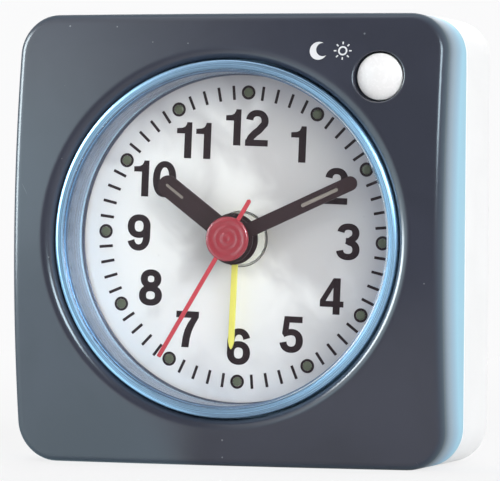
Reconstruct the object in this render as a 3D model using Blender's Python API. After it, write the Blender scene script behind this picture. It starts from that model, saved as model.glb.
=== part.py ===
# Travel alarm clock: a square two-shell case with a bowed face, a round dial in a deep ring
# under a lens, and the quartz movement, alarm work and battery that it holds.
# Metres. +X is the viewer's right, +Y the back, +Z up. The clock stands on z = 0.

import bpy
import bmesh
from math import asin, atan2, cos, pi, radians, sin, sqrt, tau

# Clearances that every fit is made with
SEAT_GAP = 0.0003       # between two pieces that lie on each other
TURN_GAP = 0.00025      # round a turning or sliding piece
OVERRUN = 0.0010        # how far a cut passes the face it opens
WELD = 0.0004           # how far a fused feature is rooted in its wall

# Case
CASE_WIDTH = 0.0622
CASE_HEIGHT = 0.0629
CORNER_RADIUS = 0.0055
FACE_BOW = 0.0035       # how far the middle of the face stands proud of its top and bottom edges
FACE_SIDE_BOW = 0.0018  # and, on top of that, of its side edges
FACE_EDGE_RADIUS = 0.0011
FRONT_WALL = 0.0018
REAR_WALL = 0.0019
PARTING_DEPTH = 0.0100  # depths are measured from the plane of the face's top and bottom edges
BACK_DEPTH = 0.0253
BACK_EDGE_RADIUS = 0.0020
BACK_FILLET = 0.0008
LAP_LENGTH = 0.0008     # the front shell's tongue inside the rear shell

# Dial opening, ring, lens and dial
AXIS_RISE = 0.0001      # the hands' axis above the middle of the case
FACE_BORDER = 0.0060    # of face between the opening and the nearest side
LIP_RADIUS = 0.0017
COLLAR_WALL = 0.0015
COLLAR_DEPTH = 0.0020
RIM_RISE = 0.0033       # the ring's rim in front of the face's edge plane
RIM_ROUND = 0.00045
RING_WIDTH = 0.0013
RING_LEDGE = 0.0004
RING_REBATE = 0.0010
RING_FLANGE = 0.0009
RING_FLANGE_THICKNESS = 0.0010
RING_FOOT_LIP = 0.0002
RING_FOOT_HEIGHT = 0.00045
DIAL_DEPTH = 0.00505
DIAL_THICKNESS = 0.0005
DIAL_INSET = 0.0005     # its edge inside the opening's radius
DIAL_HOLE_RADIUS = 0.00385
DIAL_TURN = 1.85        # degrees clockwise, as the printed dial sits in the ring
LENS_THICKNESS = 0.0010

# Hands: height of the front above the dial, gap from the tip to the ring's bore, and where each
# stands on the dial, in degrees. A slot's inset is from the tip.
HAND_THICKNESS = 0.00035
COLLAR_THICKNESS = 0.00045
ALARM_HAND_HEIGHT = 0.0024
ALARM_HAND_TIP_GAP = 0.0081
ALARM_HAND_WIDTH = 0.00085
ALARM_HUB_RADIUS = 0.0030
ALARM_HAND_ANGLE = 180.5
HOUR_HAND_HEIGHT = 0.0038
HOUR_HAND_TIP_GAP = 0.0100
HOUR_HAND_WIDTH = 0.0030
HOUR_HUB_RADIUS = 0.0036
HOUR_HAND_ANGLE = 305.5
HOUR_SLOT_INSET = 0.0011
HOUR_SLOT_LENGTH = 0.0032
MINUTE_HAND_HEIGHT = 0.00515
MINUTE_HAND_TIP_GAP = 0.0036
MINUTE_HAND_WIDTH = 0.0020
MINUTE_HUB_RADIUS = 0.0033
MINUTE_HAND_ANGLE = 63.75
MINUTE_SLOT_INSET = 0.0029
MINUTE_SLOT_LENGTH = 0.0058
SLOT_WIDTH = 0.0006
SECOND_HAND_HEIGHT = 0.0067
SECOND_HAND_TIP_GAP = 0.0043
SECOND_HAND_TAIL = 0.0062
SECOND_HAND_WIDTH = 0.0006
SECOND_CAP_RADIUS = 0.0031
SECOND_CAP_THICKNESS = 0.0007
SECOND_CAP_DRAFT = 0.0002
SECOND_HAND_ANGLE = 209.0

# Snooze button
BUTTON_SIDE_INSET = 0.0093
BUTTON_TOP_INSET = 0.00885
BUTTON_RADIUS = 0.00325
BUTTON_SINK = 0.0008    # its edge below the face
BUTTON_DOME = 0.0007
BUTTON_DOME_SHARES = (0.35, 0.7, 0.9)
BUTTON_FLANGE_THICKNESS = 0.0008
BUTTON_TRAVEL = 0.0012
PLUNGER_RADIUS = 0.0010
SLEEVE_WALL = 0.0007
SLEEVE_DEPTH = 0.0030
SNOOZE_SWITCH_SIZE = 0.0050
SNOOZE_SWITCH_HEIGHT = 0.0030
SNOOZE_STEM_RADIUS = 0.0012
SNOOZE_STEM_HEIGHT = 0.0010
SPRING_RADIUS = 0.0019
SPRING_WIRE = 0.0002
SPRING_TURNS = 4

# Case screws
SCREW_INSET = 0.0043    # from the sides and the top; the low screws stand on the battery bay
SCREW_SHANK_RADIUS = 0.00085
SCREW_HEAD_RADIUS = 0.0015
SCREW_HEAD_HEIGHT = 0.0012
SCREW_LENGTH = 0.0085
SCREW_SEAT_WALL = 0.0030
FRONT_BOSS_RADIUS = 0.0024
REAR_POST_RADIUS = 0.0026

# Movement plates
PLATE_THICKNESS = 0.0012
TRAY_WALL = 0.0008
BRIDGE_THICKNESS = 0.0008
COVER_THICKNESS = 0.0012
TRAY_CORNER = 0.0015
WHEEL_CLEARANCE = 0.0006  # between the widest wheels and the tray's walls
BRIDGE_POST_RADIUS = 0.0008
BOSS_RADIUS = 0.0036
PIVOT_RADIUS = 0.0004
STEM_RADIUS = 0.0010
PIPE_WALL = 0.0003
MOTION_POST_RADIUS = 0.0003
WHEEL_THICKNESS = 0.0006
LAYER_GAP = 0.0003
MAGNET_RADIUS = 0.0030
MAGNET_LENGTH = 0.0018
STATOR_THICKNESS = 0.0006
STATOR_RIM = 0.0044       # from the rotor's axis to the stator's long edges
STATOR_LENGTH = 0.0160
STATOR_ARM_WIDTH = 0.0030
STATOR_ARM_END = 0.0019    # of each arm past the coil's axis
STATOR_PIN_RADIUS = 0.0008
COIL_RISE = 0.0085         # the coil's axis above the rotor's
COIL_RADIUS = 0.0024
COIL_CORE_RADIUS = 0.0009
COIL_FLANGE = 0.0006

# Wheels: the train's module drives the others
TRAIN_MODULE = 0.00036
MOTION_MODULE_SHARE = 1.17
ALARM_MODULE_SHARE = 1.22
ADDENDUM_SHARE = 0.75
DEDENDUM_SHARE = 1.15
TOOTH_ROOT_SHARE = 0.60
TOOTH_TIP_SHARE = 0.24
CENTRE_TEETH = 48
THIRD_TEETH = 45
SECOND_TEETH = 36
FIFTH_TEETH = 30
PINION_LEAVES = 6
CANNON_TEETH = 8
MOTION_TEETH = 24
HOUR_TEETH = 24
TIME_SET_TEETH = 12
ALARM_TEETH = 24
THIRD_BEARING = 180.0     # bearings between arbors, in degrees from +X towards +Z
FIFTH_BEARING = 110.0
ROTOR_BEARING = 148.0
MOTION_BEARING = 0.0
TIME_SET_BEARING = -60.0
ALARM_SET_BEARING = 45.0
HALF_TURN = 180.0
FIRST_TOOTH = 0.0         # where a driving wheel has a tooth, in radians from +X towards +Z

# Knobs on the back
KNOB_HEIGHT = 0.0023
TIME_KNOB_RADIUS = 0.0048
ALARM_KNOB_RADIUS = 0.0042
KNOB_RIB_DEPTH = 0.0004
KNOB_RIBS = 14
KNOB_CAP = 0.0009
# Round one rib: the share of its pitch, and whether the knob is cut down there
KNOB_RIB_SHARES = ((0.0, 0), (0.5, 0), (0.62, 1), (0.88, 1))

# Battery, its bay and its door
BATTERY_RADIUS = 0.00525
BATTERY_LENGTH = 0.0445
BATTERY_NUB_RADIUS = 0.0019
BATTERY_NUB_LENGTH = 0.0010
BATTERY_GAP = 0.00035
BAY_FLOOR_RISE = 0.0029   # the bay's lower side above the table
BAY_WALL = 0.0013
BAY_LEDGE = 0.0009
DOOR_THICKNESS = 0.0015
DOOR_CORNER = 0.0012
DOOR_LATCH_WIDTH = 0.0090
DOOR_LATCH_HEIGHT = 0.0022
CONTACT_THICKNESS = 0.0003
CONTACT_WIDTH = 0.0070
CONTACT_SPRING_LENGTH = 0.0014
CONTACT_SPRING_RADIUS = 0.0032
CONTACT_SPRING_TIP = 0.0012
CONTACT_WIRE = 0.00022
CONTACT_TURNS = 2.5

# Circuit board and what it carries
BOARD_DEPTH = 0.0120
BOARD_THICKNESS = 0.0010
BOARD_MARGIN = 0.0009     # to the case's wall and to the movement
BOARD_ABOVE_BUTTON = 0.00285
BOARD_SCREW_GAP = 0.0004   # to the upper screw post that it is cut out for
BOARD_POST_RADIUS = 0.0012
CHIP_RADIUS = 0.0030
CHIP_HEIGHT = 0.0011
CHIP_ABOVE_POST = 0.0003
CHIP_DOME_SHARES = (0.85, 0.6, 0.3)
CRYSTAL_RADIUS = 0.0010
CRYSTAL_LENGTH = 0.0060
CRYSTAL_ABOVE_CHIP = 0.0010
LAMP_INSET = 0.0050
LAMP_ABOVE_AXIS = 0.0069
LAMP_RADIUS = 0.0015
LAMP_TIP_SHARE = 0.75
LAMP_TOP_DEPTH = 0.0043
LAMP_LENGTH = 0.0042
LAMP_LEAD_RADIUS = 0.00025
LAMP_LEAD_PITCH = 0.00127

# Alarm switch
SWITCH_RISE = 0.0265
SWITCH_TRAVEL = 0.0030
SWITCH_THUMB_WIDTH = 0.0042
SWITCH_THUMB_HEIGHT = 0.0034
SWITCH_THUMB_RISE = 0.0010
SWITCH_PLATE_MARGIN = 0.0016
SWITCH_PLATE_THICKNESS = 0.0010
SWITCH_RAIL = 0.0010
SWITCH_RAIL_HEIGHT = 0.0016
SWITCH_CONTACT_WIDTH = 0.0020
SWITCH_CONTACT_FOOT = 0.0040

# Buzzer
BUZZER_X = -0.0080
BUZZER_RISE = 0.0380
BUZZER_RADIUS = 0.0090
BUZZER_THICKNESS = 0.0004
BUZZER_RIB = 0.0008
BUZZER_RIB_HEIGHT = 0.0012
SOUND_SLOTS = 5
SOUND_SLOT_WIDTH = 0.0011
SOUND_SLOT_PITCH = 0.0024
SOUND_SLOT_LENGTH = 0.0110

# How finely round things are cut
CORNER_STEPS = 4
SIDE_STEPS = 9
DIAL_STEPS = 48
HUB_STEPS = 20
SMALL_STEPS = 10
TIP_STEPS = 6
LEAD_STEPS = 6
WIRE_TURN_STEPS = 8       # points in one turn of a wound spring
ROUND_SHARE = 1 - sqrt(0.5)  # how far a rounded edge is cut back at its middle
CORNERS = ((1, 1), (-1, 1), (-1, -1), (1, -1))

# Places worked out from the sizes above
CASE_MID = CASE_HEIGHT / 2
AXIS_Z = CASE_MID + AXIS_RISE
HALF_WIDTH = CASE_WIDTH / 2
HALF_HEIGHT = CASE_HEIGHT / 2
OVERALL_DEPTH = FACE_BOW + BACK_DEPTH + SEAT_GAP + KNOB_HEIGHT
FACE_Y = FACE_BOW - OVERALL_DEPTH / 2
BACK_Y = FACE_Y + BACK_DEPTH
INNER_BACK_Y = BACK_Y - REAR_WALL
PARTING_Y = FACE_Y + PARTING_DEPTH
REAR_START_Y = PARTING_Y + TURN_GAP
TONGUE_Y = PARTING_Y + LAP_LENGTH
REAR_LAP_Y = TONGUE_Y + SEAT_GAP
COLLAR_BACK_Y = FACE_Y + COLLAR_DEPTH
DIAL_Y = FACE_Y + DIAL_DEPTH
RIM_Y = FACE_Y - RIM_RISE
OPENING_RADIUS = min(HALF_WIDTH, HALF_HEIGHT) - FACE_BORDER
DIAL_RADIUS = OPENING_RADIUS - DIAL_INSET
RING_BORE = OPENING_RADIUS - TURN_GAP - RING_WIDTH
ALARM_HAND_LENGTH = RING_BORE - ALARM_HAND_TIP_GAP
HOUR_HAND_LENGTH = RING_BORE - HOUR_HAND_TIP_GAP
MINUTE_HAND_LENGTH = RING_BORE - MINUTE_HAND_TIP_GAP
SECOND_HAND_LENGTH = RING_BORE - SECOND_HAND_TIP_GAP
LEDGE_Y = RIM_Y + RING_REBATE
SCREW_X = HALF_WIDTH - SCREW_INSET
BUTTON_X = HALF_WIDTH - BUTTON_SIDE_INSET
BUTTON_Z = CASE_HEIGHT - BUTTON_TOP_INSET
BUTTON_HOLE = BUTTON_RADIUS + TURN_GAP

# The hands' pipes, one inside the other
MINUTE_PIPE_BORE = PIVOT_RADIUS + TURN_GAP
MINUTE_PIPE = MINUTE_PIPE_BORE + PIPE_WALL
HOUR_PIPE_BORE = MINUTE_PIPE + TURN_GAP
HOUR_PIPE = HOUR_PIPE_BORE + PIPE_WALL
ALARM_PIPE_BORE = HOUR_PIPE + TURN_GAP
ALARM_PIPE = ALARM_PIPE_BORE + PIPE_WALL
BOSS_BORE = ALARM_PIPE + TURN_GAP

# The movement's layers, from the dial backwards
PLATE_Y = DIAL_Y + DIAL_THICKNESS + SEAT_GAP
PLATE_BACK_Y = PLATE_Y + PLATE_THICKNESS
ALARM_WHEEL_Y = PLATE_BACK_Y + LAYER_GAP
HOUR_WHEEL_Y = ALARM_WHEEL_Y + WHEEL_THICKNESS + LAYER_GAP
CANNON_Y = HOUR_WHEEL_Y + WHEEL_THICKNESS + LAYER_GAP
CANNON_BACK_Y = CANNON_Y + WHEEL_THICKNESS
CENTRE_WHEEL_Y = CANNON_BACK_Y + LAYER_GAP
BRIDGE_Y = CENTRE_WHEEL_Y + WHEEL_THICKNESS + LAYER_GAP
BRIDGE_BACK_Y = BRIDGE_Y + BRIDGE_THICKNESS
THIRD_WHEEL_Y = BRIDGE_BACK_Y + LAYER_GAP
SECOND_WHEEL_Y = THIRD_WHEEL_Y + WHEEL_THICKNESS + LAYER_GAP
FIFTH_WHEEL_Y = SECOND_WHEEL_Y + WHEEL_THICKNESS + LAYER_GAP
MAGNET_Y = FIFTH_WHEEL_Y + WHEEL_THICKNESS + LAYER_GAP
MAGNET_BACK_Y = MAGNET_Y + MAGNET_LENGTH
STATOR_Y = MAGNET_Y + (MAGNET_LENGTH - STATOR_THICKNESS) / 2
COVER_Y = MAGNET_BACK_Y + LAYER_GAP
COVER_BACK_Y = COVER_Y + COVER_THICKNESS

# Wheel sizes and arbor places, from the hands' axis
MOTION_MODULE = TRAIN_MODULE * MOTION_MODULE_SHARE
ALARM_MODULE = TRAIN_MODULE * ALARM_MODULE_SHARE
THIRD_DISTANCE = (CENTRE_TEETH + PINION_LEAVES) * TRAIN_MODULE / 2
THIRD_WHEEL_MODULE = 2 * THIRD_DISTANCE / (THIRD_TEETH + PINION_LEAVES)
FIFTH_DISTANCE = (SECOND_TEETH + PINION_LEAVES) * TRAIN_MODULE / 2
ROTOR_DISTANCE = (FIFTH_TEETH + PINION_LEAVES) * TRAIN_MODULE / 2
MOTION_DISTANCE = (CANNON_TEETH + MOTION_TEETH) * MOTION_MODULE / 2
HOUR_MODULE = 2 * MOTION_DISTANCE / (HOUR_TEETH + PINION_LEAVES)
TIME_SET_DISTANCE = (MOTION_TEETH + TIME_SET_TEETH) * MOTION_MODULE / 2
ALARM_SET_DISTANCE = ALARM_TEETH * ALARM_MODULE


def bearing(start, angle, distance):
    return (start[0] + distance * cos(radians(angle)), start[1] + distance * sin(radians(angle)))


CENTRE = (0, 0)
THIRD_AT = bearing(CENTRE, THIRD_BEARING, THIRD_DISTANCE)
FIFTH_AT = bearing(CENTRE, FIFTH_BEARING, FIFTH_DISTANCE)
ROTOR_AT = bearing(FIFTH_AT, ROTOR_BEARING, ROTOR_DISTANCE)
MOTION_AT = bearing(CENTRE, MOTION_BEARING, MOTION_DISTANCE)
TIME_SET_AT = bearing(MOTION_AT, TIME_SET_BEARING, TIME_SET_DISTANCE)
ALARM_SET_AT = bearing(CENTRE, ALARM_SET_BEARING, ALARM_SET_DISTANCE)


def tip_radius(teeth, module):
    return teeth * module / 2 + ADDENDUM_SHARE * module


# The tray's inner walls clear the widest wheels
TRAY_LEFT = THIRD_AT[0] - tip_radius(THIRD_TEETH, THIRD_WHEEL_MODULE) - WHEEL_CLEARANCE
TRAY_RIGHT = TIME_SET_AT[0] + tip_radius(TIME_SET_TEETH, MOTION_MODULE) + WHEEL_CLEARANCE
TRAY_BOTTOM = TIME_SET_AT[1] - tip_radius(TIME_SET_TEETH, MOTION_MODULE) - WHEEL_CLEARANCE
STATOR_ARM_REACH = COIL_RISE + STATOR_ARM_END
TRAY_TOP = ROTOR_AT[1] + max(COIL_RISE + COIL_RADIUS, STATOR_ARM_REACH) + WHEEL_CLEARANCE
TRAY_STEP = ROTOR_AT[0] + STATOR_LENGTH / 2 + WHEEL_CLEARANCE
TRAY_SHOULDER = ALARM_SET_AT[1] + tip_radius(ALARM_TEETH, ALARM_MODULE) + WHEEL_CLEARANCE
POST_INSET = BRIDGE_POST_RADIUS + WHEEL_CLEARANCE
# The fourth post stands on the right, just below the motion wheel
RIGHT_POST_REACH = tip_radius(MOTION_TEETH, MOTION_MODULE) + BRIDGE_POST_RADIUS + SEAT_GAP
RIGHT_POST_OUT = TRAY_RIGHT - POST_INSET - MOTION_AT[0]
RIGHT_POST_DOWN = sqrt(max(0.0, RIGHT_POST_REACH ** 2 - RIGHT_POST_OUT ** 2))
BRIDGE_POSTS = (
    (TRAY_LEFT + POST_INSET, TRAY_TOP - POST_INSET),
    (TRAY_RIGHT - POST_INSET, TRAY_SHOULDER - POST_INSET),
    (TRAY_LEFT + POST_INSET, TRAY_BOTTOM + POST_INSET),
    (TRAY_RIGHT - POST_INSET, -RIGHT_POST_DOWN),
)

# Battery bay, from the middle of the case in x and the table in z
BAY_LENGTH = BATTERY_LENGTH + CONTACT_SPRING_LENGTH + CONTACT_THICKNESS + 4 * TURN_GAP
BAY_HALF = BAY_LENGTH / 2
BAY_TOP = BAY_FLOOR_RISE + 2 * (BATTERY_RADIUS + BATTERY_GAP)
TOP_SCREW_Z = CASE_HEIGHT - SCREW_INSET
LOW_SCREW_Z = BAY_TOP + BAY_WALL + REAR_POST_RADIUS - WELD
SCREWS = (
    ("top_right", SCREW_X, TOP_SCREW_Z),
    ("top_left", -SCREW_X, TOP_SCREW_Z),
    ("low_left", -SCREW_X, LOW_SCREW_Z),
    ("low_right", SCREW_X, LOW_SCREW_Z),
)
BATTERY_Z = BAY_FLOOR_RISE + BATTERY_GAP + BATTERY_RADIUS
DOOR_Y = BACK_Y - DOOR_THICKNESS
BATTERY_Y = DOOR_Y - SEAT_GAP - BATTERY_GAP - BATTERY_RADIUS
BAY_FRONT_Y = BATTERY_Y - BATTERY_RADIUS - BATTERY_GAP
BATTERY_LEFT = -BAY_HALF + CONTACT_SPRING_LENGTH + 2 * TURN_GAP
BATTERY_RIGHT = BATTERY_LEFT + BATTERY_LENGTH

BOARD_Y = FACE_Y + BOARD_DEPTH
BOARD_BACK_Y = BOARD_Y + BOARD_THICKNESS
BOARD_LEFT = TRAY_RIGHT + TRAY_WALL + BOARD_MARGIN
BOARD_RIGHT = HALF_WIDTH - REAR_WALL - BOARD_MARGIN
BOARD_BOTTOM = LOW_SCREW_Z + REAR_POST_RADIUS + BOARD_MARGIN
BOARD_TOP = BUTTON_Z + BOARD_ABOVE_BUTTON
BOARD_SHOULDER = TOP_SCREW_Z - REAR_POST_RADIUS - BOARD_SCREW_GAP
BOARD_NECK_RIGHT = SCREW_X - REAR_POST_RADIUS - BOARD_SCREW_GAP
LAMP_X = HALF_WIDTH - LAMP_INSET
LAMP_RISE = AXIS_Z + LAMP_ABOVE_AXIS
SWITCH_X = (TIME_SET_AT[0] + TIME_KNOB_RADIUS + HALF_WIDTH - REAR_WALL) / 2
SWITCH_REACH = SWITCH_THUMB_HEIGHT / 2 + SWITCH_PLATE_MARGIN + SWITCH_TRAVEL / 2
BOARD_LOW_POST_Z = SWITCH_RISE + SWITCH_REACH + SEAT_GAP + BOARD_POST_RADIUS
CHIP_RISE = BOARD_LOW_POST_Z + BOARD_POST_RADIUS + CHIP_ABOVE_POST + CHIP_RADIUS
CRYSTAL_RISE = CHIP_RISE + CHIP_RADIUS + CRYSTAL_ABOVE_CHIP
SWITCH_PLATE_Y = INNER_BACK_Y - SEAT_GAP - SWITCH_PLATE_THICKNESS


# Shared modelling steps

def make_material(name, color, roughness, metallic=0.0, alpha=1.0, transmission=0.0):
    mat = bpy.data.materials.new(name)
    mat.use_nodes = True
    shader = mat.node_tree.nodes["Principled BSDF"]
    shader.inputs["Base Color"].default_value = (*color, 1.0)
    shader.inputs["Roughness"].default_value = roughness
    shader.inputs["Metallic"].default_value = metallic
    shader.inputs["Alpha"].default_value = alpha
    shader.inputs["Transmission Weight"].default_value = transmission
    mat.diffuse_color = (*color, alpha)
    return mat


def add_object(name, bm, material, place=(0, 0, 0)):
    bmesh.ops.recalc_face_normals(bm, faces=bm.faces)
    mesh = bpy.data.meshes.new(name)
    bm.to_mesh(mesh)
    bm.free()
    mesh.materials.append(material)
    mesh.shade_smooth()
    mesh.set_sharp_from_angle(angle=radians(35))
    obj = bpy.data.objects.new(name, mesh)
    bpy.context.collection.objects.link(obj)
    obj.location = place
    return obj


def circle(radius, steps=HUB_STEPS, at=(0, 0), turn=0.0):
    return [(at[0] + radius * cos(turn + tau * k / steps), at[1] + radius * sin(turn + tau * k / steps))
            for k in range(steps)]


def rounded_box(left, right, bottom, top, radius, steps=3):
    points = []
    corners = ((right, top, 0), (left, top, 1), (left, bottom, 2), (right, bottom, 3))
    for x, z, quarter in corners:
        centre_x = x - radius if x == right else x + radius
        centre_z = z - radius if z == top else z + radius
        for k in range(steps + 1):
            angle = (quarter + k / steps) * pi / 2
            points.append((centre_x + radius * cos(angle), centre_z + radius * sin(angle)))
    return points


def square_box(left, right, bottom, top):
    return [(left, bottom), (right, bottom), (right, top), (left, top)]


def in_space(along, u, v, level):
    # A flat loop lies across the direction that its piece is built up along
    if along == "X":
        return (level, u, v)
    if along == "Z":
        return (u, v, level)
    return (u, level, v)


def stacked(name, start, layers, material, place=(0, 0, 0), along="Y"):
    # Builds a solid from flat layers: each is (its end level, [its outline, holes or islands]).
    # A loop that runs on through several layers is one wall.
    bm = bmesh.new()
    rings = {}

    def ring(loop, level):
        key = (id(loop), level)
        if key not in rings:
            rings[key] = [bm.verts.new(in_space(along, u, v, level)) for u, v in loop]
        return rings[key]

    def wall(loop, low, high):
        lower = ring(loop, low)
        upper = ring(loop, high)
        for k in range(len(loop)):
            following = (k + 1) % len(loop)
            bm.faces.new((lower[k], lower[following], upper[following], upper[k]))

    def fill(loops, level):
        if len(loops) == 1:
            bm.faces.new(ring(loops[0], level))
            return
        edges = []
        for loop in loops:
            verts = ring(loop, level)
            for a, b in zip(verts, verts[1:] + verts[:1]):
                edges.append(bm.edges.get((a, b)) or bm.edges.new((a, b)))
        bmesh.ops.triangle_fill(bm, use_beauty=True, use_dissolve=False, edges=edges)

    opened = {}
    previous = []
    level = start
    for end, loops in layers + [(None, [])]:
        present = {id(loop) for loop in loops}
        before = {id(loop) for loop in previous}
        for loop in previous:
            if id(loop) not in present:
                wall(loop, opened.pop(id(loop)), level)
        for loop in loops:
            if id(loop) not in before:
                opened[id(loop)] = level
        changed = [loop for loop in previous if id(loop) not in present]
        changed += [loop for loop in loops if id(loop) not in before]
        fill(changed, level)
        previous = loops
        level = end
    return add_object(name, bm, material, place)


def lofted(name, rings, material, place=(0, 0, 0), closed=False):
    # Skins rings of equal length. A closed loft joins its last ring to its first.
    bm = bmesh.new()
    loops = [[bm.verts.new(point) for point in ring] for ring in rings]
    pairs = list(zip(loops, loops[1:]))
    if closed:
        pairs.append((loops[-1], loops[0]))
    else:
        bm.faces.new(loops[0])
        bm.faces.new(loops[-1])
    for first, second in pairs:
        for k in range(len(first)):
            following = (k + 1) % len(first)
            bm.faces.new((first[k], first[following], second[following], second[k]))
    return add_object(name, bm, material, place)


def turned(name, profile, material, steps=HUB_STEPS, place=(0, 0, 0), closed=False, along="Y"):
    # Turns a profile of (radius, level) about an axis through its place
    rings = [[in_space(along, u, v, level) for u, v in circle(radius, steps)] for radius, level in profile]
    return lofted(name, rings, material, place, closed)


def wire(name, points, radius, material, place=(0, 0, 0)):
    curve = bpy.data.curves.new(name, "CURVE")
    curve.dimensions = "3D"
    curve.bevel_depth = radius
    curve.bevel_resolution = 1
    curve.use_fill_caps = True
    spline = curve.splines.new("POLY")
    spline.points.add(len(points) - 1)
    for point, place_on_path in zip(spline.points, points):
        point.co = (*place_on_path, 1.0)
    curve.materials.append(material)
    obj = bpy.data.objects.new(name, curve)
    bpy.context.collection.objects.link(obj)
    obj.location = place
    return obj


def combine(target, operation, tools):
    for tool in tools:
        tool.hide_render = True
        tool.display_type = "WIRE"
        modifier = target.modifiers.new(tool.name, "BOOLEAN")
        modifier.operation = operation
        modifier.solver = "EXACT"
        modifier.object = tool


def cut(target, *tools):
    combine(target, "DIFFERENCE", tools)


def fuse(target, *tools):
    combine(target, "UNION", tools)


def toothed(teeth, module, turn, flank_shares):
    # One tooth is centred on the angle turn. Shares are of half the tooth pitch, root to tip to root.
    pitch_radius = teeth * module / 2
    root = pitch_radius - DEDENDUM_SHARE * module
    tip = pitch_radius + ADDENDUM_SHARE * module
    half_pitch = pi / teeth
    points = []
    for k in range(teeth):
        middle = turn + k * tau / teeth
        for share in flank_shares:
            radius = root if abs(share) == TOOTH_ROOT_SHARE else tip
            angle = middle + share * half_pitch
            points.append((radius * cos(angle), radius * sin(angle)))
    return points


def wheel(teeth, module, turn=0.0):
    # A wheel's teeth come to a point, as an ogive does
    return toothed(teeth, module, turn, (-TOOTH_ROOT_SHARE, 0, TOOTH_ROOT_SHARE))


def pinion(teeth, module, turn=0.0):
    # A pinion's leaves are flat at the tip
    leaf_shares = (-TOOTH_ROOT_SHARE, -TOOTH_TIP_SHARE, TOOTH_TIP_SHARE, TOOTH_ROOT_SHARE)
    return toothed(teeth, module, turn, leaf_shares)


def meshed(teeth, turn, direction, other_teeth):
    # The turn that puts a second wheel in mesh with a first, which lies back along the direction
    line = radians(direction)
    return line + pi - ((turn - line) * teeth + pi) / other_teeth


def on_axis(at=CENTRE):
    return (at[0], 0, AXIS_Z + at[1])


# Case

def face_y(x, z):
    # The face, bowed both ways, at a distance from the middle and a height above the table
    across = x / HALF_WIDTH
    up = (z - CASE_MID) / HALF_HEIGHT
    return FACE_Y - FACE_BOW * (1 - up * up) - FACE_SIDE_BOW * (1 - across * across)


def case_outline(offset, side_steps):
    # The case's rounded square, drawn in by the offset, around the middle of the case
    half_width = HALF_WIDTH - offset
    half_height = HALF_HEIGHT - offset
    radius = CORNER_RADIUS - offset
    points = []
    for quarter, (side_x, side_z) in enumerate(CORNERS):
        centre = (side_x * (half_width - radius), side_z * (half_height - radius))
        for k in range(CORNER_STEPS + 1):
            angle = (quarter + k / CORNER_STEPS) * pi / 2
            points.append((centre[0] + radius * cos(angle), centre[1] + radius * sin(angle)))
        end = points[-1]
        next_x, next_z = CORNERS[(quarter + 1) % len(CORNERS)]
        straight = (next_x * (half_width - radius), next_z * (half_height - radius))
        angle = (quarter + 1) * pi / 2
        start = (straight[0] + radius * cos(angle), straight[1] + radius * sin(angle))
        for k in range(1, side_steps):
            share = k / side_steps
            points.append((end[0] + (start[0] - end[0]) * share, end[1] + (start[1] - end[1]) * share))
    return [(x, CASE_MID + z) for x, z in points]


def around_opening(radius, outline):
    # Points round the dial opening, each on the ray through its point of the case's outline
    points = []
    for x, z in outline:
        angle = atan2(z - AXIS_Z, x)
        points.append((radius * cos(angle), AXIS_Z + radius * sin(angle)))
    return points


def between(first, second):
    return [((a[0] + b[0]) / 2, (a[1] + b[1]) / 2) for a, b in zip(first, second)]


def on_face(points, sink=0.0):
    return [(x, face_y(x, z) + sink, z) for x, z in points]


def at_level(points, y):
    return [(x, y, z) for x, z in points]


def front_shell(material):
    outer = case_outline(0, SIDE_STEPS)
    inner = case_outline(FRONT_WALL, SIDE_STEPS)
    tongue = case_outline(FRONT_WALL / 2, SIDE_STEPS)
    face_edge = case_outline(FACE_EDGE_RADIUS, SIDE_STEPS)
    soft = ROUND_SHARE
    corner = case_outline(FACE_EDGE_RADIUS * soft, SIDE_STEPS)
    lip = around_opening(OPENING_RADIUS + LIP_RADIUS, outer)
    lip_middle = around_opening(OPENING_RADIUS + LIP_RADIUS * soft, outer)
    opening = around_opening(OPENING_RADIUS, outer)
    collar = around_opening(OPENING_RADIUS + COLLAR_WALL, outer)
    rings = [
        at_level(outer, PARTING_Y),
        on_face(outer, FACE_EDGE_RADIUS),
        on_face(corner, FACE_EDGE_RADIUS * soft),
        on_face(face_edge),
        on_face(between(face_edge, lip)),
        on_face(lip),
        on_face(lip_middle, LIP_RADIUS * soft),
        on_face(opening, LIP_RADIUS),
        at_level(opening, COLLAR_BACK_Y),
        at_level(collar, COLLAR_BACK_Y),
        on_face(collar, FRONT_WALL),
        on_face(inner, FRONT_WALL),
        at_level(inner, TONGUE_Y),
        at_level(tongue, TONGUE_Y),
        at_level(tongue, PARTING_Y),
    ]
    shell = lofted("front_shell", rings, material, closed=True)
    for name, x, z in SCREWS:
        place = (x, 0, z)
        root = face_y(x, z) + FRONT_WALL - WELD
        boss = stacked(f"front_boss_{name}", root, [(TONGUE_Y, [circle(FRONT_BOSS_RADIUS, SMALL_STEPS)])],
                       material, place)
        fuse(shell, boss)
        bottom = screw_tip_y() - SEAT_GAP
        hole = circle(SCREW_SHANK_RADIUS + TURN_GAP, SMALL_STEPS)
        pilot = stacked(f"front_pilot_{name}", bottom, [(TONGUE_Y + OVERRUN, [hole])], material, place)
        cut(shell, pilot)
    place = (BUTTON_X, 0, BUTTON_Z)
    root = face_y(BUTTON_X, BUTTON_Z) + FRONT_WALL - WELD
    sleeve = stacked("button_sleeve", root,
                     [(FACE_Y + SLEEVE_DEPTH, [circle(BUTTON_HOLE + SLEEVE_WALL)])], material, place)
    fuse(shell, sleeve)
    start = face_y(BUTTON_X, BUTTON_Z) - FACE_BOW
    bore = stacked("button_bore", start,
                   [(FACE_Y + SLEEVE_DEPTH + OVERRUN, [circle(BUTTON_HOLE)])], material, place)
    cut(shell, bore)
    return shell


def screw_seat_y():
    return REAR_LAP_Y + SCREW_SEAT_WALL


def screw_tip_y():
    return screw_seat_y() + SEAT_GAP - SCREW_LENGTH


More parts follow.
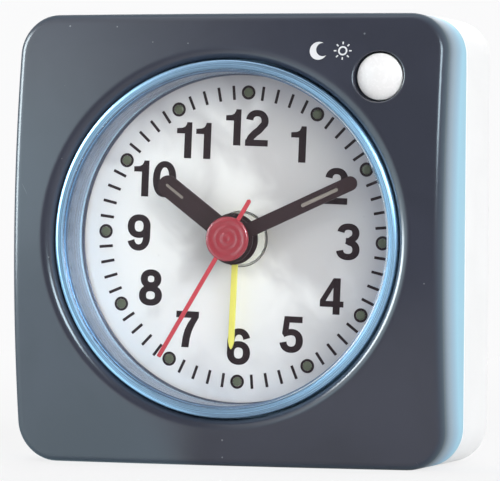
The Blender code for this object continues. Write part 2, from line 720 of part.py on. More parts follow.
def door_outline(margin):
    # The battery door, with its latch tab on top; a positive margin draws it in
    half = BAY_HALF + BAY_LEDGE - margin
    bottom = BAY_FLOOR_RISE - BAY_LEDGE + margin
    top = BAY_TOP + BAY_LEDGE - margin
    tab = DOOR_LATCH_WIDTH / 2 - margin
    tab_top = top + DOOR_LATCH_HEIGHT
    lower = rounded_box(-half, half, bottom, top, DOOR_CORNER)
    latch = [(tab, top), (tab, tab_top), (-tab, tab_top), (-tab, top)]
    count = len(lower) // 4
    return lower[:count] + latch + lower[count:]


def rear_shell(material):
    soft = ROUND_SHARE
    inner = case_outline(REAR_WALL, 1)
    rebate = case_outline(FRONT_WALL / 2 - TURN_GAP, 1)
    rings = [
        at_level(case_outline(BACK_EDGE_RADIUS, 1), BACK_Y),
        at_level(case_outline(BACK_EDGE_RADIUS * soft, 1), BACK_Y - BACK_EDGE_RADIUS * soft),
        at_level(case_outline(0, 1), BACK_Y - BACK_EDGE_RADIUS),
        at_level(case_outline(0, 1), REAR_START_Y),
        at_level(rebate, REAR_START_Y),
        at_level(rebate, REAR_LAP_Y),
        at_level(inner, REAR_LAP_Y),
        at_level(inner, INNER_BACK_Y - BACK_FILLET),
        at_level(case_outline(REAR_WALL + BACK_FILLET, 1), INNER_BACK_Y),
    ]
    shell = lofted("rear_shell", rings, material)
    back = INNER_BACK_Y + WELD

    def post(name, radius, place, front, steps=SMALL_STEPS):
        fuse(shell, stacked(name, front, [(back, [circle(radius, steps)])], material, place))

    # Screw posts, and the holes that take the screws and their heads
    for name, x, z in SCREWS:
        post(f"rear_post_{name}", REAR_POST_RADIUS, (x, 0, z), REAR_LAP_Y)

    # Battery bay, then the door's recess and the bay's room
    side = BAY_HALF + BAY_WALL
    bay = rounded_box(-side, side, REAR_WALL - WELD, BAY_TOP + BAY_WALL, DOOR_CORNER)
    fuse(shell, stacked("bay_box", BAY_FRONT_Y - BAY_WALL, [(back, [bay])], material))
    latch_half = DOOR_LATCH_WIDTH / 2 + BAY_WALL
    latch_top = BAY_TOP + DOOR_LATCH_HEIGHT + BAY_WALL
    latch_back = rounded_box(-latch_half, latch_half, BAY_TOP, latch_top, DOOR_CORNER)
    fuse(shell, stacked("latch_pad", DOOR_Y - SEAT_GAP - BAY_WALL, [(back, [latch_back])], material))
    recess = door_outline(0)
    cut(shell, stacked("door_recess", DOOR_Y - SEAT_GAP, [(BACK_Y + OVERRUN, [recess])], material))
    room = square_box(-BAY_HALF, BAY_HALF, BAY_FLOOR_RISE, BAY_TOP)
    cut(shell, stacked("bay_room", BAY_FRONT_Y, [(BACK_Y + OVERRUN, [room])], material))

    # Posts that hold the movement and the circuit board
    for k, (x, z) in enumerate(BRIDGE_POSTS):
        post(f"movement_post_{k}", BOARD_POST_RADIUS, (x, 0, AXIS_Z + z), COVER_BACK_Y + SEAT_GAP)
    for k, (x, z) in enumerate(board_posts()):
        post(f"board_post_{k}", BOARD_POST_RADIUS, (x, 0, z), BOARD_BACK_Y + SEAT_GAP)

    # Buzzer rib and sound slots
    place = (BUZZER_X, 0, BUZZER_RISE)
    inside = BUZZER_RADIUS + SEAT_GAP
    rib = stacked("buzzer_rib", INNER_BACK_Y - BUZZER_RIB_HEIGHT,
                  [(back, [circle(inside + BUZZER_RIB), circle(inside)])], material, place)
    fuse(shell, rib)
    for k in range(SOUND_SLOTS):
        z = (k - (SOUND_SLOTS - 1) / 2) * SOUND_SLOT_PITCH
        half = SOUND_SLOT_LENGTH / 2
        end = SOUND_SLOT_WIDTH / 2
        slot = stadium(-half + end, half - end, end, z)
        layers = [(BACK_Y + OVERRUN, [slot])]
        cut(shell, stacked(f"sound_slot_{k}", INNER_BACK_Y - OVERRUN, layers, material, place))

    # Alarm switch: two rails inside and a slot for its thumb
    travel = SWITCH_TRAVEL / 2
    half = SWITCH_THUMB_WIDTH / 2 + SWITCH_PLATE_MARGIN + TURN_GAP
    place = (SWITCH_X, 0, SWITCH_RISE)
    for side in (-1, 1):
        near = side * half
        far = side * (half + SWITCH_RAIL)
        rail = square_box(min(near, far), max(near, far), -SWITCH_REACH, SWITCH_REACH)
        front = INNER_BACK_Y - SWITCH_RAIL_HEIGHT
        fuse(shell, stacked(f"switch_rail_{side}", front, [(back, [rail])], material, place))
    half = SWITCH_THUMB_WIDTH / 2 + TURN_GAP
    reach = SWITCH_THUMB_HEIGHT / 2 + travel + TURN_GAP
    slot = square_box(-half, half, -reach, reach)
    layers = [(BACK_Y + OVERRUN, [slot])]
    cut(shell, stacked("switch_slot", INNER_BACK_Y - OVERRUN, layers, material, place))

    # Holes for the screws and the knobs' stems
    for name, x, z in SCREWS:
        shank = circle(SCREW_SHANK_RADIUS + TURN_GAP, SMALL_STEPS)
        head = circle(SCREW_HEAD_RADIUS + TURN_GAP, SMALL_STEPS)
        layers = [(screw_seat_y(), [shank]), (BACK_Y + OVERRUN, [head])]
        cut(shell, stacked(f"screw_hole_{name}", REAR_LAP_Y - OVERRUN, layers, material, (x, 0, z)))
    for name, at in (("time", TIME_SET_AT), ("alarm", ALARM_SET_AT)):
        hole = circle(STEM_RADIUS + SEAT_GAP, SMALL_STEPS)
        layers = [(BACK_Y + OVERRUN, [hole])]
        cut(shell, stacked(f"{name}_stem_hole", INNER_BACK_Y - OVERRUN, layers, material, on_axis(at)))
    return shell


def stadium(left, right, radius, z=0.0, steps=4):
    # A slot with round ends between two centres on one line
    points = []
    for k in range(steps + 1):
        angle = -pi / 2 + pi * k / steps
        points.append((right + radius * cos(angle), z + radius * sin(angle)))
    for k in range(steps + 1):
        angle = pi / 2 + pi * k / steps
        points.append((left + radius * cos(angle), z + radius * sin(angle)))
    return points


def case_screws(material):
    # Four pan-head screws, driven in from the back
    shank_front = screw_tip_y()
    head_front = screw_seat_y() + SEAT_GAP
    shank = circle(SCREW_SHANK_RADIUS, SMALL_STEPS)
    head = circle(SCREW_HEAD_RADIUS, SMALL_STEPS)
    layers = [(head_front, [shank]), (head_front + SCREW_HEAD_HEIGHT, [head])]
    for name, x, z in SCREWS:
        stacked(f"case_screw_{name}", shank_front, layers, material, (x, 0, z))


# Ring, lens and dial

def bezel_ring(material):
    outer = OPENING_RADIUS - TURN_GAP
    bore = RING_BORE - RING_LEDGE
    flange_y = COLLAR_BACK_Y + SEAT_GAP
    foot_y = DIAL_Y - SEAT_GAP
    foot = outer - RIM_ROUND
    soft = RIM_ROUND * ROUND_SHARE
    profile = [
        (bore, LEDGE_Y),
        (RING_BORE, LEDGE_Y),
        (RING_BORE, RIM_Y),
        (outer - RIM_ROUND, RIM_Y),
        (outer - soft, RIM_Y + soft),
        (outer, RIM_Y + RIM_ROUND),
        (outer, flange_y),
        (OPENING_RADIUS + RING_FLANGE, flange_y),
        (OPENING_RADIUS + RING_FLANGE, flange_y + RING_FLANGE_THICKNESS),
        (foot, flange_y + RING_FLANGE_THICKNESS),
        (foot, foot_y),
        (bore - RING_FOOT_LIP, foot_y),
        (bore - RING_FOOT_LIP, foot_y - RING_FOOT_HEIGHT),
        (bore, foot_y - RING_FOOT_HEIGHT),
    ]
    return turned("bezel_ring", profile, material, DIAL_STEPS, on_axis(), closed=True)


def lens(material):
    back = LEDGE_Y - SEAT_GAP
    front = back - LENS_THICKNESS
    return stacked("lens", front, [(back, [circle(RING_BORE - SEAT_GAP, DIAL_STEPS)])], material, on_axis())


def dial(material):
    loops = [circle(DIAL_RADIUS, DIAL_STEPS), circle(DIAL_HOLE_RADIUS)]
    return stacked("dial", DIAL_Y, [(DIAL_Y + DIAL_THICKNESS, loops)], material, on_axis())


# Hands

def toward(clock_angle):
    # A clock angle on the turned dial, as a direction from +X towards +Z
    return pi / 2 - radians(clock_angle + DIAL_TURN)


def swung(points, direction):
    across, up = cos(direction), sin(direction)
    return [(u * across - v * up, u * up + v * across) for u, v in points]


def hand_outline(hub, width, length, direction, tip="round", tail=0.0):
    # A hub with one bar, or a bar and a tail; drawn along +X and swung into place
    half = width / 2
    side = asin(half / hub)
    points = []
    if tip == "round":
        for k in range(TIP_STEPS + 1):
            angle = -pi / 2 + pi * k / TIP_STEPS
            points.append((length - half + half * cos(angle), half * sin(angle)))
    else:
        points += [(length - width, -half), (length, 0), (length - width, half)]
    steps = HUB_STEPS // 2
    if tail:
        for k in range(steps + 1):
            angle = side + (pi - 2 * side) * k / steps
            points.append((hub * cos(angle), hub * sin(angle)))
        points += [(-tail, half), (-tail, -half)]
        for k in range(steps + 1):
            angle = pi + side + (pi - 2 * side) * k / steps
            points.append((hub * cos(angle), hub * sin(angle)))
    else:
        for k in range(2 * steps + 1):
            angle = side + (tau - 2 * side) * k / (2 * steps)
            points.append((hub * cos(angle), hub * sin(angle)))
    return swung(points, direction)


def hand(name, outline, height, pipe, hub_wall, material, slot=None, collar=COLLAR_THICKNESS):
    # A flat hand with a collar behind it that sits on its pipe
    front = DIAL_Y - height
    bore = circle(pipe + TURN_GAP, SMALL_STEPS)
    loops = [outline, bore] + ([slot] if slot else [])
    layers = [
        (front + HAND_THICKNESS, loops),
        (front + HAND_THICKNESS + collar, [circle(pipe + TURN_GAP + hub_wall, SMALL_STEPS), bore]),
    ]
    return stacked(name, front, layers, material, on_axis())


def hour_hand(material):
    direction = toward(HOUR_HAND_ANGLE)
    outline = hand_outline(HOUR_HUB_RADIUS, HOUR_HAND_WIDTH, HOUR_HAND_LENGTH, direction)
    end = SLOT_WIDTH / 2
    slot_end = HOUR_HAND_LENGTH - HOUR_SLOT_INSET
    slot = swung(stadium(slot_end - HOUR_SLOT_LENGTH + end, slot_end - end, end), direction)
    return hand("hour_hand", outline, HOUR_HAND_HEIGHT, HOUR_PIPE, PIPE_WALL, material, slot)


def minute_hand(material):
    direction = toward(MINUTE_HAND_ANGLE)
    outline = hand_outline(MINUTE_HUB_RADIUS, MINUTE_HAND_WIDTH, MINUTE_HAND_LENGTH, direction)
    end = SLOT_WIDTH / 2
    slot_end = MINUTE_HAND_LENGTH - MINUTE_SLOT_INSET
    slot = swung(stadium(slot_end - MINUTE_SLOT_LENGTH + end, slot_end - end, end), direction)
    return hand("minute_hand", outline, MINUTE_HAND_HEIGHT, MINUTE_PIPE, PIPE_WALL, material, slot)


def alarm_hand(material):
    direction = toward(ALARM_HAND_ANGLE)
    outline = hand_outline(ALARM_HUB_RADIUS, ALARM_HAND_WIDTH, ALARM_HAND_LENGTH, direction, tip="point")
    return hand("alarm_hand", outline, ALARM_HAND_HEIGHT, ALARM_PIPE, PIPE_WALL, material)


def second_hand(material):
    # The thin hand, its round cap behind it and a blind socket for the arbor
    front = DIAL_Y - SECOND_HAND_HEIGHT
    direction = toward(SECOND_HAND_ANGLE)
    outline = hand_outline(SECOND_CAP_RADIUS, SECOND_HAND_WIDTH, SECOND_HAND_LENGTH, direction,
                           tip="point", tail=SECOND_HAND_TAIL)
    cap_back = front + SECOND_CAP_THICKNESS
    end = DIAL_Y - MINUTE_HAND_HEIGHT - LAYER_GAP
    bore = circle(PIVOT_RADIUS + TURN_GAP, SMALL_STEPS)
    layers = [
        (front + HAND_THICKNESS, [outline]),
        (cap_back, [circle(SECOND_CAP_RADIUS - SECOND_CAP_DRAFT), bore]),
        (end, [circle(PIVOT_RADIUS + TURN_GAP + PIPE_WALL, SMALL_STEPS), bore]),
    ]
    return stacked("second_hand", front, layers, material, on_axis())


# Snooze button, its spring and its switch

def button_edge_y():
    return face_y(BUTTON_X, BUTTON_Z) + BUTTON_SINK


def flange_back_y():
    return FACE_Y + SLEEVE_DEPTH + SEAT_GAP + BUTTON_FLANGE_THICKNESS


def snooze_switch_y():
    return BOARD_Y - SEAT_GAP - SNOOZE_SWITCH_HEIGHT


def snooze_button(material):
    edge = button_edge_y()
    flange = FACE_Y + SLEEVE_DEPTH + SEAT_GAP
    profile = []
    for share in BUTTON_DOME_SHARES:
        profile.append((BUTTON_RADIUS * share, edge - BUTTON_DOME * (1 - share ** 2)))
    plunger_end = snooze_switch_y() - SNOOZE_STEM_HEIGHT - BUTTON_TRAVEL - SEAT_GAP
    profile += [
        (BUTTON_RADIUS, edge),
        (BUTTON_RADIUS, flange),
        (BUTTON_HOLE + SLEEVE_WALL, flange),
        (BUTTON_HOLE + SLEEVE_WALL, flange_back_y()),
        (PLUNGER_RADIUS, flange_back_y()),
        (PLUNGER_RADIUS, plunger_end),
    ]
    return turned("snooze_button", profile, material, HUB_STEPS, (BUTTON_X, 0, BUTTON_Z))


def snooze_spring(material):
    start = flange_back_y() + SEAT_GAP + SPRING_WIRE
    end = snooze_switch_y() - SEAT_GAP - SPRING_WIRE
    count = SPRING_TURNS * WIRE_TURN_STEPS
    points = []
    for k in range(count + 1):
        share = k / count
        angle = tau * SPRING_TURNS * share
        y = start + (end - start) * share
        points.append((SPRING_RADIUS * cos(angle), y, SPRING_RADIUS * sin(angle)))
    return wire("snooze_spring", points, SPRING_WIRE, material, (BUTTON_X, 0, BUTTON_Z))


def snooze_switch(material):
    half = SNOOZE_SWITCH_SIZE / 2
    front = snooze_switch_y()
    body = rounded_box(-half, half, -half, half, SNOOZE_STEM_HEIGHT / 2, 2)
    layers = [(front, [circle(SNOOZE_STEM_RADIUS, SMALL_STEPS)]), (front + SNOOZE_SWITCH_HEIGHT, [body])]
    return stacked("snooze_switch", front - SNOOZE_STEM_HEIGHT, layers, material, (BUTTON_X, 0, BUTTON_Z))


# Movement plates

def tray_outline(margin):
    # Tall over the motor on the left, stepped down to the alarm work on the right
    left = TRAY_LEFT - margin
    bottom = TRAY_BOTTOM - margin
    step = TRAY_STEP + margin
    shoulder = TRAY_SHOULDER + margin
    low = rounded_box(left, TRAY_RIGHT + margin, bottom, shoulder, TRAY_CORNER + margin)
    tall = rounded_box(left, step, bottom, TRAY_TOP + margin, TRAY_CORNER + margin)
    corner = len(low) // 4
    return low[:corner] + [(step, shoulder)] + tall[:3 * corner] + low[3 * corner:]


def pivot_hole(at, radius=PIVOT_RADIUS, gap=TURN_GAP):
    return circle(radius + gap, SMALL_STEPS, at)


def movement_tray(material):
    outer = tray_outline(TRAY_WALL)
    inner = tray_outline(0)
    bore = circle(BOSS_BORE)
    posts = [circle(BRIDGE_POST_RADIUS, SMALL_STEPS, at) for at in BRIDGE_POSTS]
    motion_post = circle(MOTION_POST_RADIUS, SMALL_STEPS, MOTION_AT)
    pivots = [pivot_hole(at) for at in (THIRD_AT, TIME_SET_AT, ALARM_SET_AT)]
    layers = [
        (PLATE_Y, [circle(BOSS_RADIUS), bore]),
        (PLATE_BACK_Y, [outer, bore] + pivots),
        (CANNON_BACK_Y, [outer, inner, motion_post] + posts),
        (BRIDGE_Y - SEAT_GAP, [outer, inner] + posts),
        (COVER_Y - SEAT_GAP, [outer, inner]),
    ]
    return stacked("movement_tray", DIAL_Y, layers, material, on_axis())


def movement_bridge(material):
    # The middle plate, between the centre wheel and the train behind it
    pinion_room = tip_radius(PINION_LEAVES, TRAIN_MODULE) + SEAT_GAP
    loops = [
        tray_outline(-SEAT_GAP),
        pivot_hole(CENTRE),
        pivot_hole(FIFTH_AT),
        pivot_hole(ROTOR_AT),
        circle(pinion_room, SMALL_STEPS, THIRD_AT),
        pivot_hole(TIME_SET_AT, STEM_RADIUS),
        pivot_hole(ALARM_SET_AT, STEM_RADIUS),
    ]
    return stacked("movement_bridge", BRIDGE_Y, [(BRIDGE_BACK_Y, loops)], material, on_axis())


def movement_cover(material):
    posts = [circle(BRIDGE_POST_RADIUS, SMALL_STEPS, at) for at in BRIDGE_POSTS]
    half = STATOR_LENGTH / 2 - STATOR_ARM_WIDTH / 2
    pins = [circle(STATOR_PIN_RADIUS, SMALL_STEPS, (ROTOR_AT[0] + side * half, ROTOR_AT[1]))
            for side in (-1, 1)]
    holes = [pivot_hole(at) for at in (CENTRE, THIRD_AT, FIFTH_AT, ROTOR_AT)]
    holes += [pivot_hole(at, STEM_RADIUS) for at in (TIME_SET_AT, ALARM_SET_AT)]
    layers = [
        (STATOR_Y + STATOR_THICKNESS + SEAT_GAP, posts),
        (COVER_Y, posts + pins),
        (COVER_BACK_Y, [tray_outline(TRAY_WALL)] + holes),
    ]
    return stacked("movement_cover", BRIDGE_BACK_Y + SEAT_GAP, layers, material, on_axis())


# Going train

def second_wheel(material):
    # The long arbor that carries the second hand through the pipes
    arbor = circle(PIVOT_RADIUS, SMALL_STEPS)
    front = DIAL_Y - SECOND_HAND_HEIGHT + HAND_THICKNESS + TURN_GAP
    layers = [
        (THIRD_WHEEL_Y, [arbor]),
        (SECOND_WHEEL_Y, [pinion(PINION_LEAVES, THIRD_WHEEL_MODULE, FIRST_TOOTH)]),
        (SECOND_WHEEL_Y + WHEEL_THICKNESS, [wheel(SECOND_TEETH, TRAIN_MODULE, FIRST_TOOTH)]),
        (COVER_BACK_Y - TURN_GAP, [arbor]),
    ]
    return stacked("second_wheel", front, layers, material, on_axis())


def third_wheel(material):
    arbor = circle(PIVOT_RADIUS, SMALL_STEPS)
    turn = meshed(PINION_LEAVES, FIRST_TOOTH, THIRD_BEARING, THIRD_TEETH)
    layers = [
        (CENTRE_WHEEL_Y, [arbor]),
        (THIRD_WHEEL_Y, [pinion(PINION_LEAVES, TRAIN_MODULE, FIRST_TOOTH)]),
        (THIRD_WHEEL_Y + WHEEL_THICKNESS, [wheel(THIRD_TEETH, THIRD_WHEEL_MODULE, turn)]),
        (COVER_BACK_Y - TURN_GAP, [arbor]),
    ]
    return stacked("third_wheel", PLATE_Y + TURN_GAP, layers, material, on_axis(THIRD_AT))


def centre_wheel(material):
    # Rides on the cannon pinion's tail, which slips in it when the hands are set
    turn = meshed(PINION_LEAVES, FIRST_TOOTH, THIRD_BEARING + HALF_TURN, CENTRE_TEETH)
    loops = [wheel(CENTRE_TEETH, TRAIN_MODULE, turn), circle(MINUTE_PIPE + TURN_GAP, SMALL_STEPS)]
    layers = [(CENTRE_WHEEL_Y + WHEEL_THICKNESS, loops)]
    return stacked("centre_wheel", CENTRE_WHEEL_Y, layers, material, on_axis())


def fifth_wheel(material):
    arbor = circle(PIVOT_RADIUS, SMALL_STEPS)
    turn = meshed(SECOND_TEETH, FIRST_TOOTH, FIFTH_BEARING, PINION_LEAVES)
    layers = [
        (SECOND_WHEEL_Y, [arbor]),
        (FIFTH_WHEEL_Y, [pinion(PINION_LEAVES, TRAIN_MODULE, turn)]),
        (FIFTH_WHEEL_Y + WHEEL_THICKNESS, [wheel(FIFTH_TEETH, TRAIN_MODULE, FIRST_TOOTH)]),
        (COVER_BACK_Y - TURN_GAP, [arbor]),
    ]
    return stacked("fifth_wheel", BRIDGE_Y + TURN_GAP, layers, material, on_axis(FIFTH_AT))


def rotor(material):
    arbor = circle(PIVOT_RADIUS, SMALL_STEPS)
    turn = meshed(FIFTH_TEETH, FIRST_TOOTH, ROTOR_BEARING, PINION_LEAVES)
    layers = [
        (FIFTH_WHEEL_Y, [arbor]),
        (MAGNET_Y, [pinion(PINION_LEAVES, TRAIN_MODULE, turn)]),
        (MAGNET_BACK_Y, [circle(MAGNET_RADIUS)]),
        (COVER_BACK_Y - TURN_GAP, [arbor]),
    ]
    return stacked("rotor", BRIDGE_Y + TURN_GAP, layers, material, on_axis(ROTOR_AT))


# Motion work and alarm work

def pipe_front(height):
    # Where a hand's pipe ends, just inside the front of its hand
    return DIAL_Y - height + HAND_THICKNESS - TURN_GAP


def cannon_pinion(material):
    pipe = circle(MINUTE_PIPE, SMALL_STEPS)
    bore = circle(MINUTE_PIPE_BORE, SMALL_STEPS)
    layers = [
        (CANNON_Y, [pipe, bore]),
        (CANNON_BACK_Y, [pinion(CANNON_TEETH, MOTION_MODULE, FIRST_TOOTH), bore]),
        (BRIDGE_Y - LAYER_GAP, [pipe, bore]),
    ]
    return stacked("cannon_pinion", pipe_front(MINUTE_HAND_HEIGHT), layers, material, on_axis())


def motion_turn():
    return meshed(CANNON_TEETH, FIRST_TOOTH, MOTION_BEARING, MOTION_TEETH)


def motion_wheel(material):
    bore = circle(MOTION_POST_RADIUS + TURN_GAP, SMALL_STEPS)
    layers = [
        (CANNON_Y, [pinion(PINION_LEAVES, HOUR_MODULE, FIRST_TOOTH), bore]),
        (CANNON_BACK_Y, [wheel(MOTION_TEETH, MOTION_MODULE, motion_turn()), bore]),
    ]
    return stacked("motion_wheel", HOUR_WHEEL_Y, layers, material, on_axis(MOTION_AT))


def hour_wheel(material):
    turn = meshed(PINION_LEAVES, FIRST_TOOTH, MOTION_BEARING + HALF_TURN, HOUR_TEETH)
    bore = circle(HOUR_PIPE_BORE, SMALL_STEPS)
    layers = [
        (HOUR_WHEEL_Y, [circle(HOUR_PIPE, SMALL_STEPS), bore]),
        (HOUR_WHEEL_Y + WHEEL_THICKNESS, [wheel(HOUR_TEETH, HOUR_MODULE, turn), bore]),
    ]
    return stacked("hour_wheel", pipe_front(HOUR_HAND_HEIGHT), layers, material, on_axis())


def alarm_wheel(material):
    bore = circle(ALARM_PIPE_BORE, SMALL_STEPS)
    layers = [
        (ALARM_WHEEL_Y, [circle(ALARM_PIPE, SMALL_STEPS), bore]),
        (ALARM_WHEEL_Y + WHEEL_THICKNESS, [wheel(ALARM_TEETH, ALARM_MODULE, FIRST_TOOTH), bore]),
    ]
    return stacked("alarm_wheel", pipe_front(ALARM_HAND_HEIGHT), layers, material, on_axis())


def stem_end_y():
    return BACK_Y + SEAT_GAP + KNOB_HEIGHT - KNOB_CAP - SEAT_GAP


def time_set_arbor(material):
    turn = meshed(MOTION_TEETH, motion_turn(), TIME_SET_BEARING, TIME_SET_TEETH)
    pivot = circle(PIVOT_RADIUS, SMALL_STEPS)
    stem = circle(STEM_RADIUS, SMALL_STEPS)
    layers = [
        (PLATE_BACK_Y + LAYER_GAP, [pivot]),
        (CANNON_Y, [stem]),
        (CANNON_BACK_Y, [pinion(TIME_SET_TEETH, MOTION_MODULE, turn)]),
        (stem_end_y(), [stem]),
    ]
    return stacked("time_set_arbor", PLATE_Y + TURN_GAP, layers, material, on_axis(TIME_SET_AT))


def alarm_set_arbor(material):
    turn = meshed(ALARM_TEETH, FIRST_TOOTH, ALARM_SET_BEARING, ALARM_TEETH)
    pivot = circle(PIVOT_RADIUS, SMALL_STEPS)
    layers = [
        (ALARM_WHEEL_Y, [pivot]),
        (ALARM_WHEEL_Y + WHEEL_THICKNESS, [wheel(ALARM_TEETH, ALARM_MODULE, turn)]),
        (stem_end_y(), [circle(STEM_RADIUS, SMALL_STEPS)]),
    ]
    return stacked("alarm_set_arbor", PLATE_Y + TURN_GAP, layers, material, on_axis(ALARM_SET_AT))


def set_knob(name, radius, at, material):
    # A ribbed knob pressed on the stem's end
    ribs = []
    for k in range(KNOB_RIBS):
        for share, drop in KNOB_RIB_SHARES:
            angle = tau * (k + share) / KNOB_RIBS
            reach = radius - drop * KNOB_RIB_DEPTH
            ribs.append((reach * cos(angle), reach * sin(angle)))
    front = BACK_Y + SEAT_GAP
    socket = circle(STEM_RADIUS + TURN_GAP, SMALL_STEPS)
    layers = [
        (front + KNOB_HEIGHT - KNOB_CAP, [ribs, socket]),
        (front + KNOB_HEIGHT, [ribs]),
    ]
    return stacked(name, front, layers, material, on_axis(at))


# Motor

def stator_plate(material):
    # Round the rotor, with two arms up to the coil's ends
    half = STATOR_LENGTH / 2
    inside = half - STATOR_ARM_WIDTH
    outline = [
        (-half, -STATOR_RIM), (half, -STATOR_RIM), (half, STATOR_ARM_REACH), (inside, STATOR_ARM_REACH),
        (inside, STATOR_RIM), (-inside, STATOR_RIM), (-inside, STATOR_ARM_REACH), (-half, STATOR_ARM_REACH),
    ]
    eye = circle(MAGNET_RADIUS + SEAT_GAP)
    arbor_at = (FIFTH_AT[0] - ROTOR_AT[0], FIFTH_AT[1] - ROTOR_AT[1])
    layers = [(STATOR_Y + STATOR_THICKNESS, [outline, eye, pivot_hole(arbor_at, PIVOT_RADIUS, SEAT_GAP)])]
    return stacked("stator_plate", STATOR_Y, layers, material, on_axis(ROTOR_AT))


def coil_place():
    x, _, z = on_axis(ROTOR_AT)
    return (x, STATOR_Y - SEAT_GAP - COIL_CORE_RADIUS, z + COIL_RISE)


def coil_bobbin(material):
    half = STATOR_LENGTH / 2
    inside = half - STATOR_ARM_WIDTH
    flange = inside - SEAT_GAP
    profile = [
        (COIL_CORE_RADIUS, -half),
        (COIL_CORE_RADIUS, -flange),
        (COIL_RADIUS, -flange),
        (COIL_RADIUS, -flange + COIL_FLANGE),
        (COIL_CORE_RADIUS, -flange + COIL_FLANGE),
        (COIL_CORE_RADIUS, flange - COIL_FLANGE),
        (COIL_RADIUS, flange - COIL_FLANGE),
        (COIL_RADIUS, flange),
        (COIL_CORE_RADIUS, flange),
        (COIL_CORE_RADIUS, half),
    ]
    return turned("coil_bobbin", profile, material, SMALL_STEPS, coil_place(), along="X")


def coil_winding(material):
    length = STATOR_LENGTH / 2 - STATOR_ARM_WIDTH - SEAT_GAP - COIL_FLANGE - TURN_GAP
    inner = COIL_CORE_RADIUS + TURN_GAP
    outer = COIL_RADIUS - TURN_GAP
    profile = [(inner, -length), (outer, -length), (outer, length), (inner, length)]
    return turned("coil_winding", profile, material, HUB_STEPS, coil_place(), closed=True, along="X")


# Circuit board and what it carries

def board_posts():
    inset = 2 * BOARD_POST_RADIUS
    return (
        (BOARD_LEFT + inset, BOARD_LOW_POST_Z),
        (BOARD_RIGHT - inset, BOARD_SHOULDER - inset),
        (BOARD_LEFT + inset, BOARD_TOP - inset),
    )


def circuit_board(material):
    outline = [
        (BOARD_LEFT, BOARD_BOTTOM), (BOARD_RIGHT, BOARD_BOTTOM), (BOARD_RIGHT, BOARD_SHOULDER),
        (BOARD_NECK_RIGHT, BOARD_SHOULDER), (BOARD_NECK_RIGHT, BOARD_TOP), (BOARD_LEFT, BOARD_TOP),
    ]
    return stacked("circuit_board", BOARD_Y, [(BOARD_BACK_Y, [outline])], material)


def board_middle():
    return (BOARD_LEFT + BOARD_RIGHT) / 2


def control_chip(material):
    # A domed drop of resin over the chip
    start = BOARD_BACK_Y + SEAT_GAP
    profile = [(CHIP_RADIUS, start)]
    for share in CHIP_DOME_SHARES:
        profile.append((CHIP_RADIUS * share, start + CHIP_HEIGHT * sqrt(1 - share * share)))
    return turned("control_chip", profile, material, HUB_STEPS, (board_middle(), 0, CHIP_RISE))


def quartz_crystal(material):
    start = CRYSTAL_RISE
    y = BOARD_BACK_Y + SEAT_GAP + CRYSTAL_RADIUS
    profile = [(CRYSTAL_RADIUS, 0), (CRYSTAL_RADIUS, CRYSTAL_LENGTH)]
    return turned("quartz_crystal", profile, material, SMALL_STEPS, (board_middle(), y, start), along="Z")


def dial_lamp(material):
    top = FACE_Y + LAMP_TOP_DEPTH
    base = top + LAMP_LENGTH
    dome = top + LAMP_RADIUS / 2
    leads = [circle(LAMP_LEAD_RADIUS, LEAD_STEPS, (side * LAMP_LEAD_PITCH / 2, 0)) for side in (-1, 1)]
    place = (LAMP_X, 0, LAMP_RISE)
    layers = [
        (dome, [circle(LAMP_RADIUS * LAMP_TIP_SHARE, SMALL_STEPS)]),
        (base, [circle(LAMP_RADIUS, SMALL_STEPS)]),
        (BOARD_Y - SEAT_GAP, leads),
    ]
    return stacked("dial_lamp", top, layers, material, place)


# Alarm switch and buzzer

def alarm_switch(material):
    plate_half = SWITCH_THUMB_WIDTH / 2 + SWITCH_PLATE_MARGIN
    plate_reach = SWITCH_THUMB_HEIGHT / 2 + SWITCH_PLATE_MARGIN
    low = SWITCH_RISE - SWITCH_TRAVEL / 2
    plate = rounded_box(-plate_half, plate_half, -plate_reach, plate_reach, SWITCH_PLATE_THICKNESS / 2, 2)
    half = SWITCH_THUMB_WIDTH / 2
    reach = SWITCH_THUMB_HEIGHT / 2
    thumb = rounded_box(-half, half, -reach, reach, SWITCH_PLATE_THICKNESS / 2, 2)
    layers = [(SWITCH_PLATE_Y + SWITCH_PLATE_THICKNESS, [plate]), (BACK_Y + SWITCH_THUMB_RISE, [thumb])]
    return stacked("alarm_switch", SWITCH_PLATE_Y, layers, material, (SWITCH_X, 0, low))


def switch_contact(material):
    # A bent strip from the board back to the switch's plate
    start = BOARD_BACK_Y + SEAT_GAP
    end = SWITCH_PLATE_Y - SEAT_GAP
    foot = SWITCH_CONTACT_FOOT
    t = CONTACT_THICKNESS
    z = SWITCH_RISE - SWITCH_THUMB_HEIGHT
    outline = [
        (start, z), (start, z + foot), (start + t, z + foot), (start + t, z + t),
        (end - t, z + t), (end - t, z + foot), (end, z + foot), (end, z),
    ]
    half = SWITCH_CONTACT_WIDTH / 2
    return stacked("switch_contact", SWITCH_X - half, [(SWITCH_X + half, [outline])], material, along="X")


def buzzer_disc(material):
    start = INNER_BACK_Y - SEAT_GAP - BUZZER_THICKNESS
    layers = [(start + BUZZER_THICKNESS, [circle(BUZZER_RADIUS)])]
    return stacked("buzzer_disc", start, layers, material, (BUZZER_X, 0, BUZZER_RISE))


# Battery, its contacts and its door

def battery(material):
    profile = [
        (BATTERY_RADIUS, BATTERY_LEFT),
        (BATTERY_RADIUS, BATTERY_RIGHT - BATTERY_NUB_LENGTH),
        (BATTERY_NUB_RADIUS, BATTERY_RIGHT - BATTERY_NUB_LENGTH),
        (BATTERY_NUB_RADIUS, BATTERY_RIGHT),
    ]
    return turned("battery", profile, material, HUB_STEPS, (0, BATTERY_Y, BATTERY_Z), along="X")


def positive_contact(material):
    half = CONTACT_WIDTH / 2
    start = BATTERY_RIGHT + TURN_GAP
    layers = [(start + CONTACT_THICKNESS, [square_box(-half, half, -half, half)])]
    place = (0, BATTERY_Y, BATTERY_Z)
    return stacked("battery_contact_positive", start, layers, material, place, along="X")


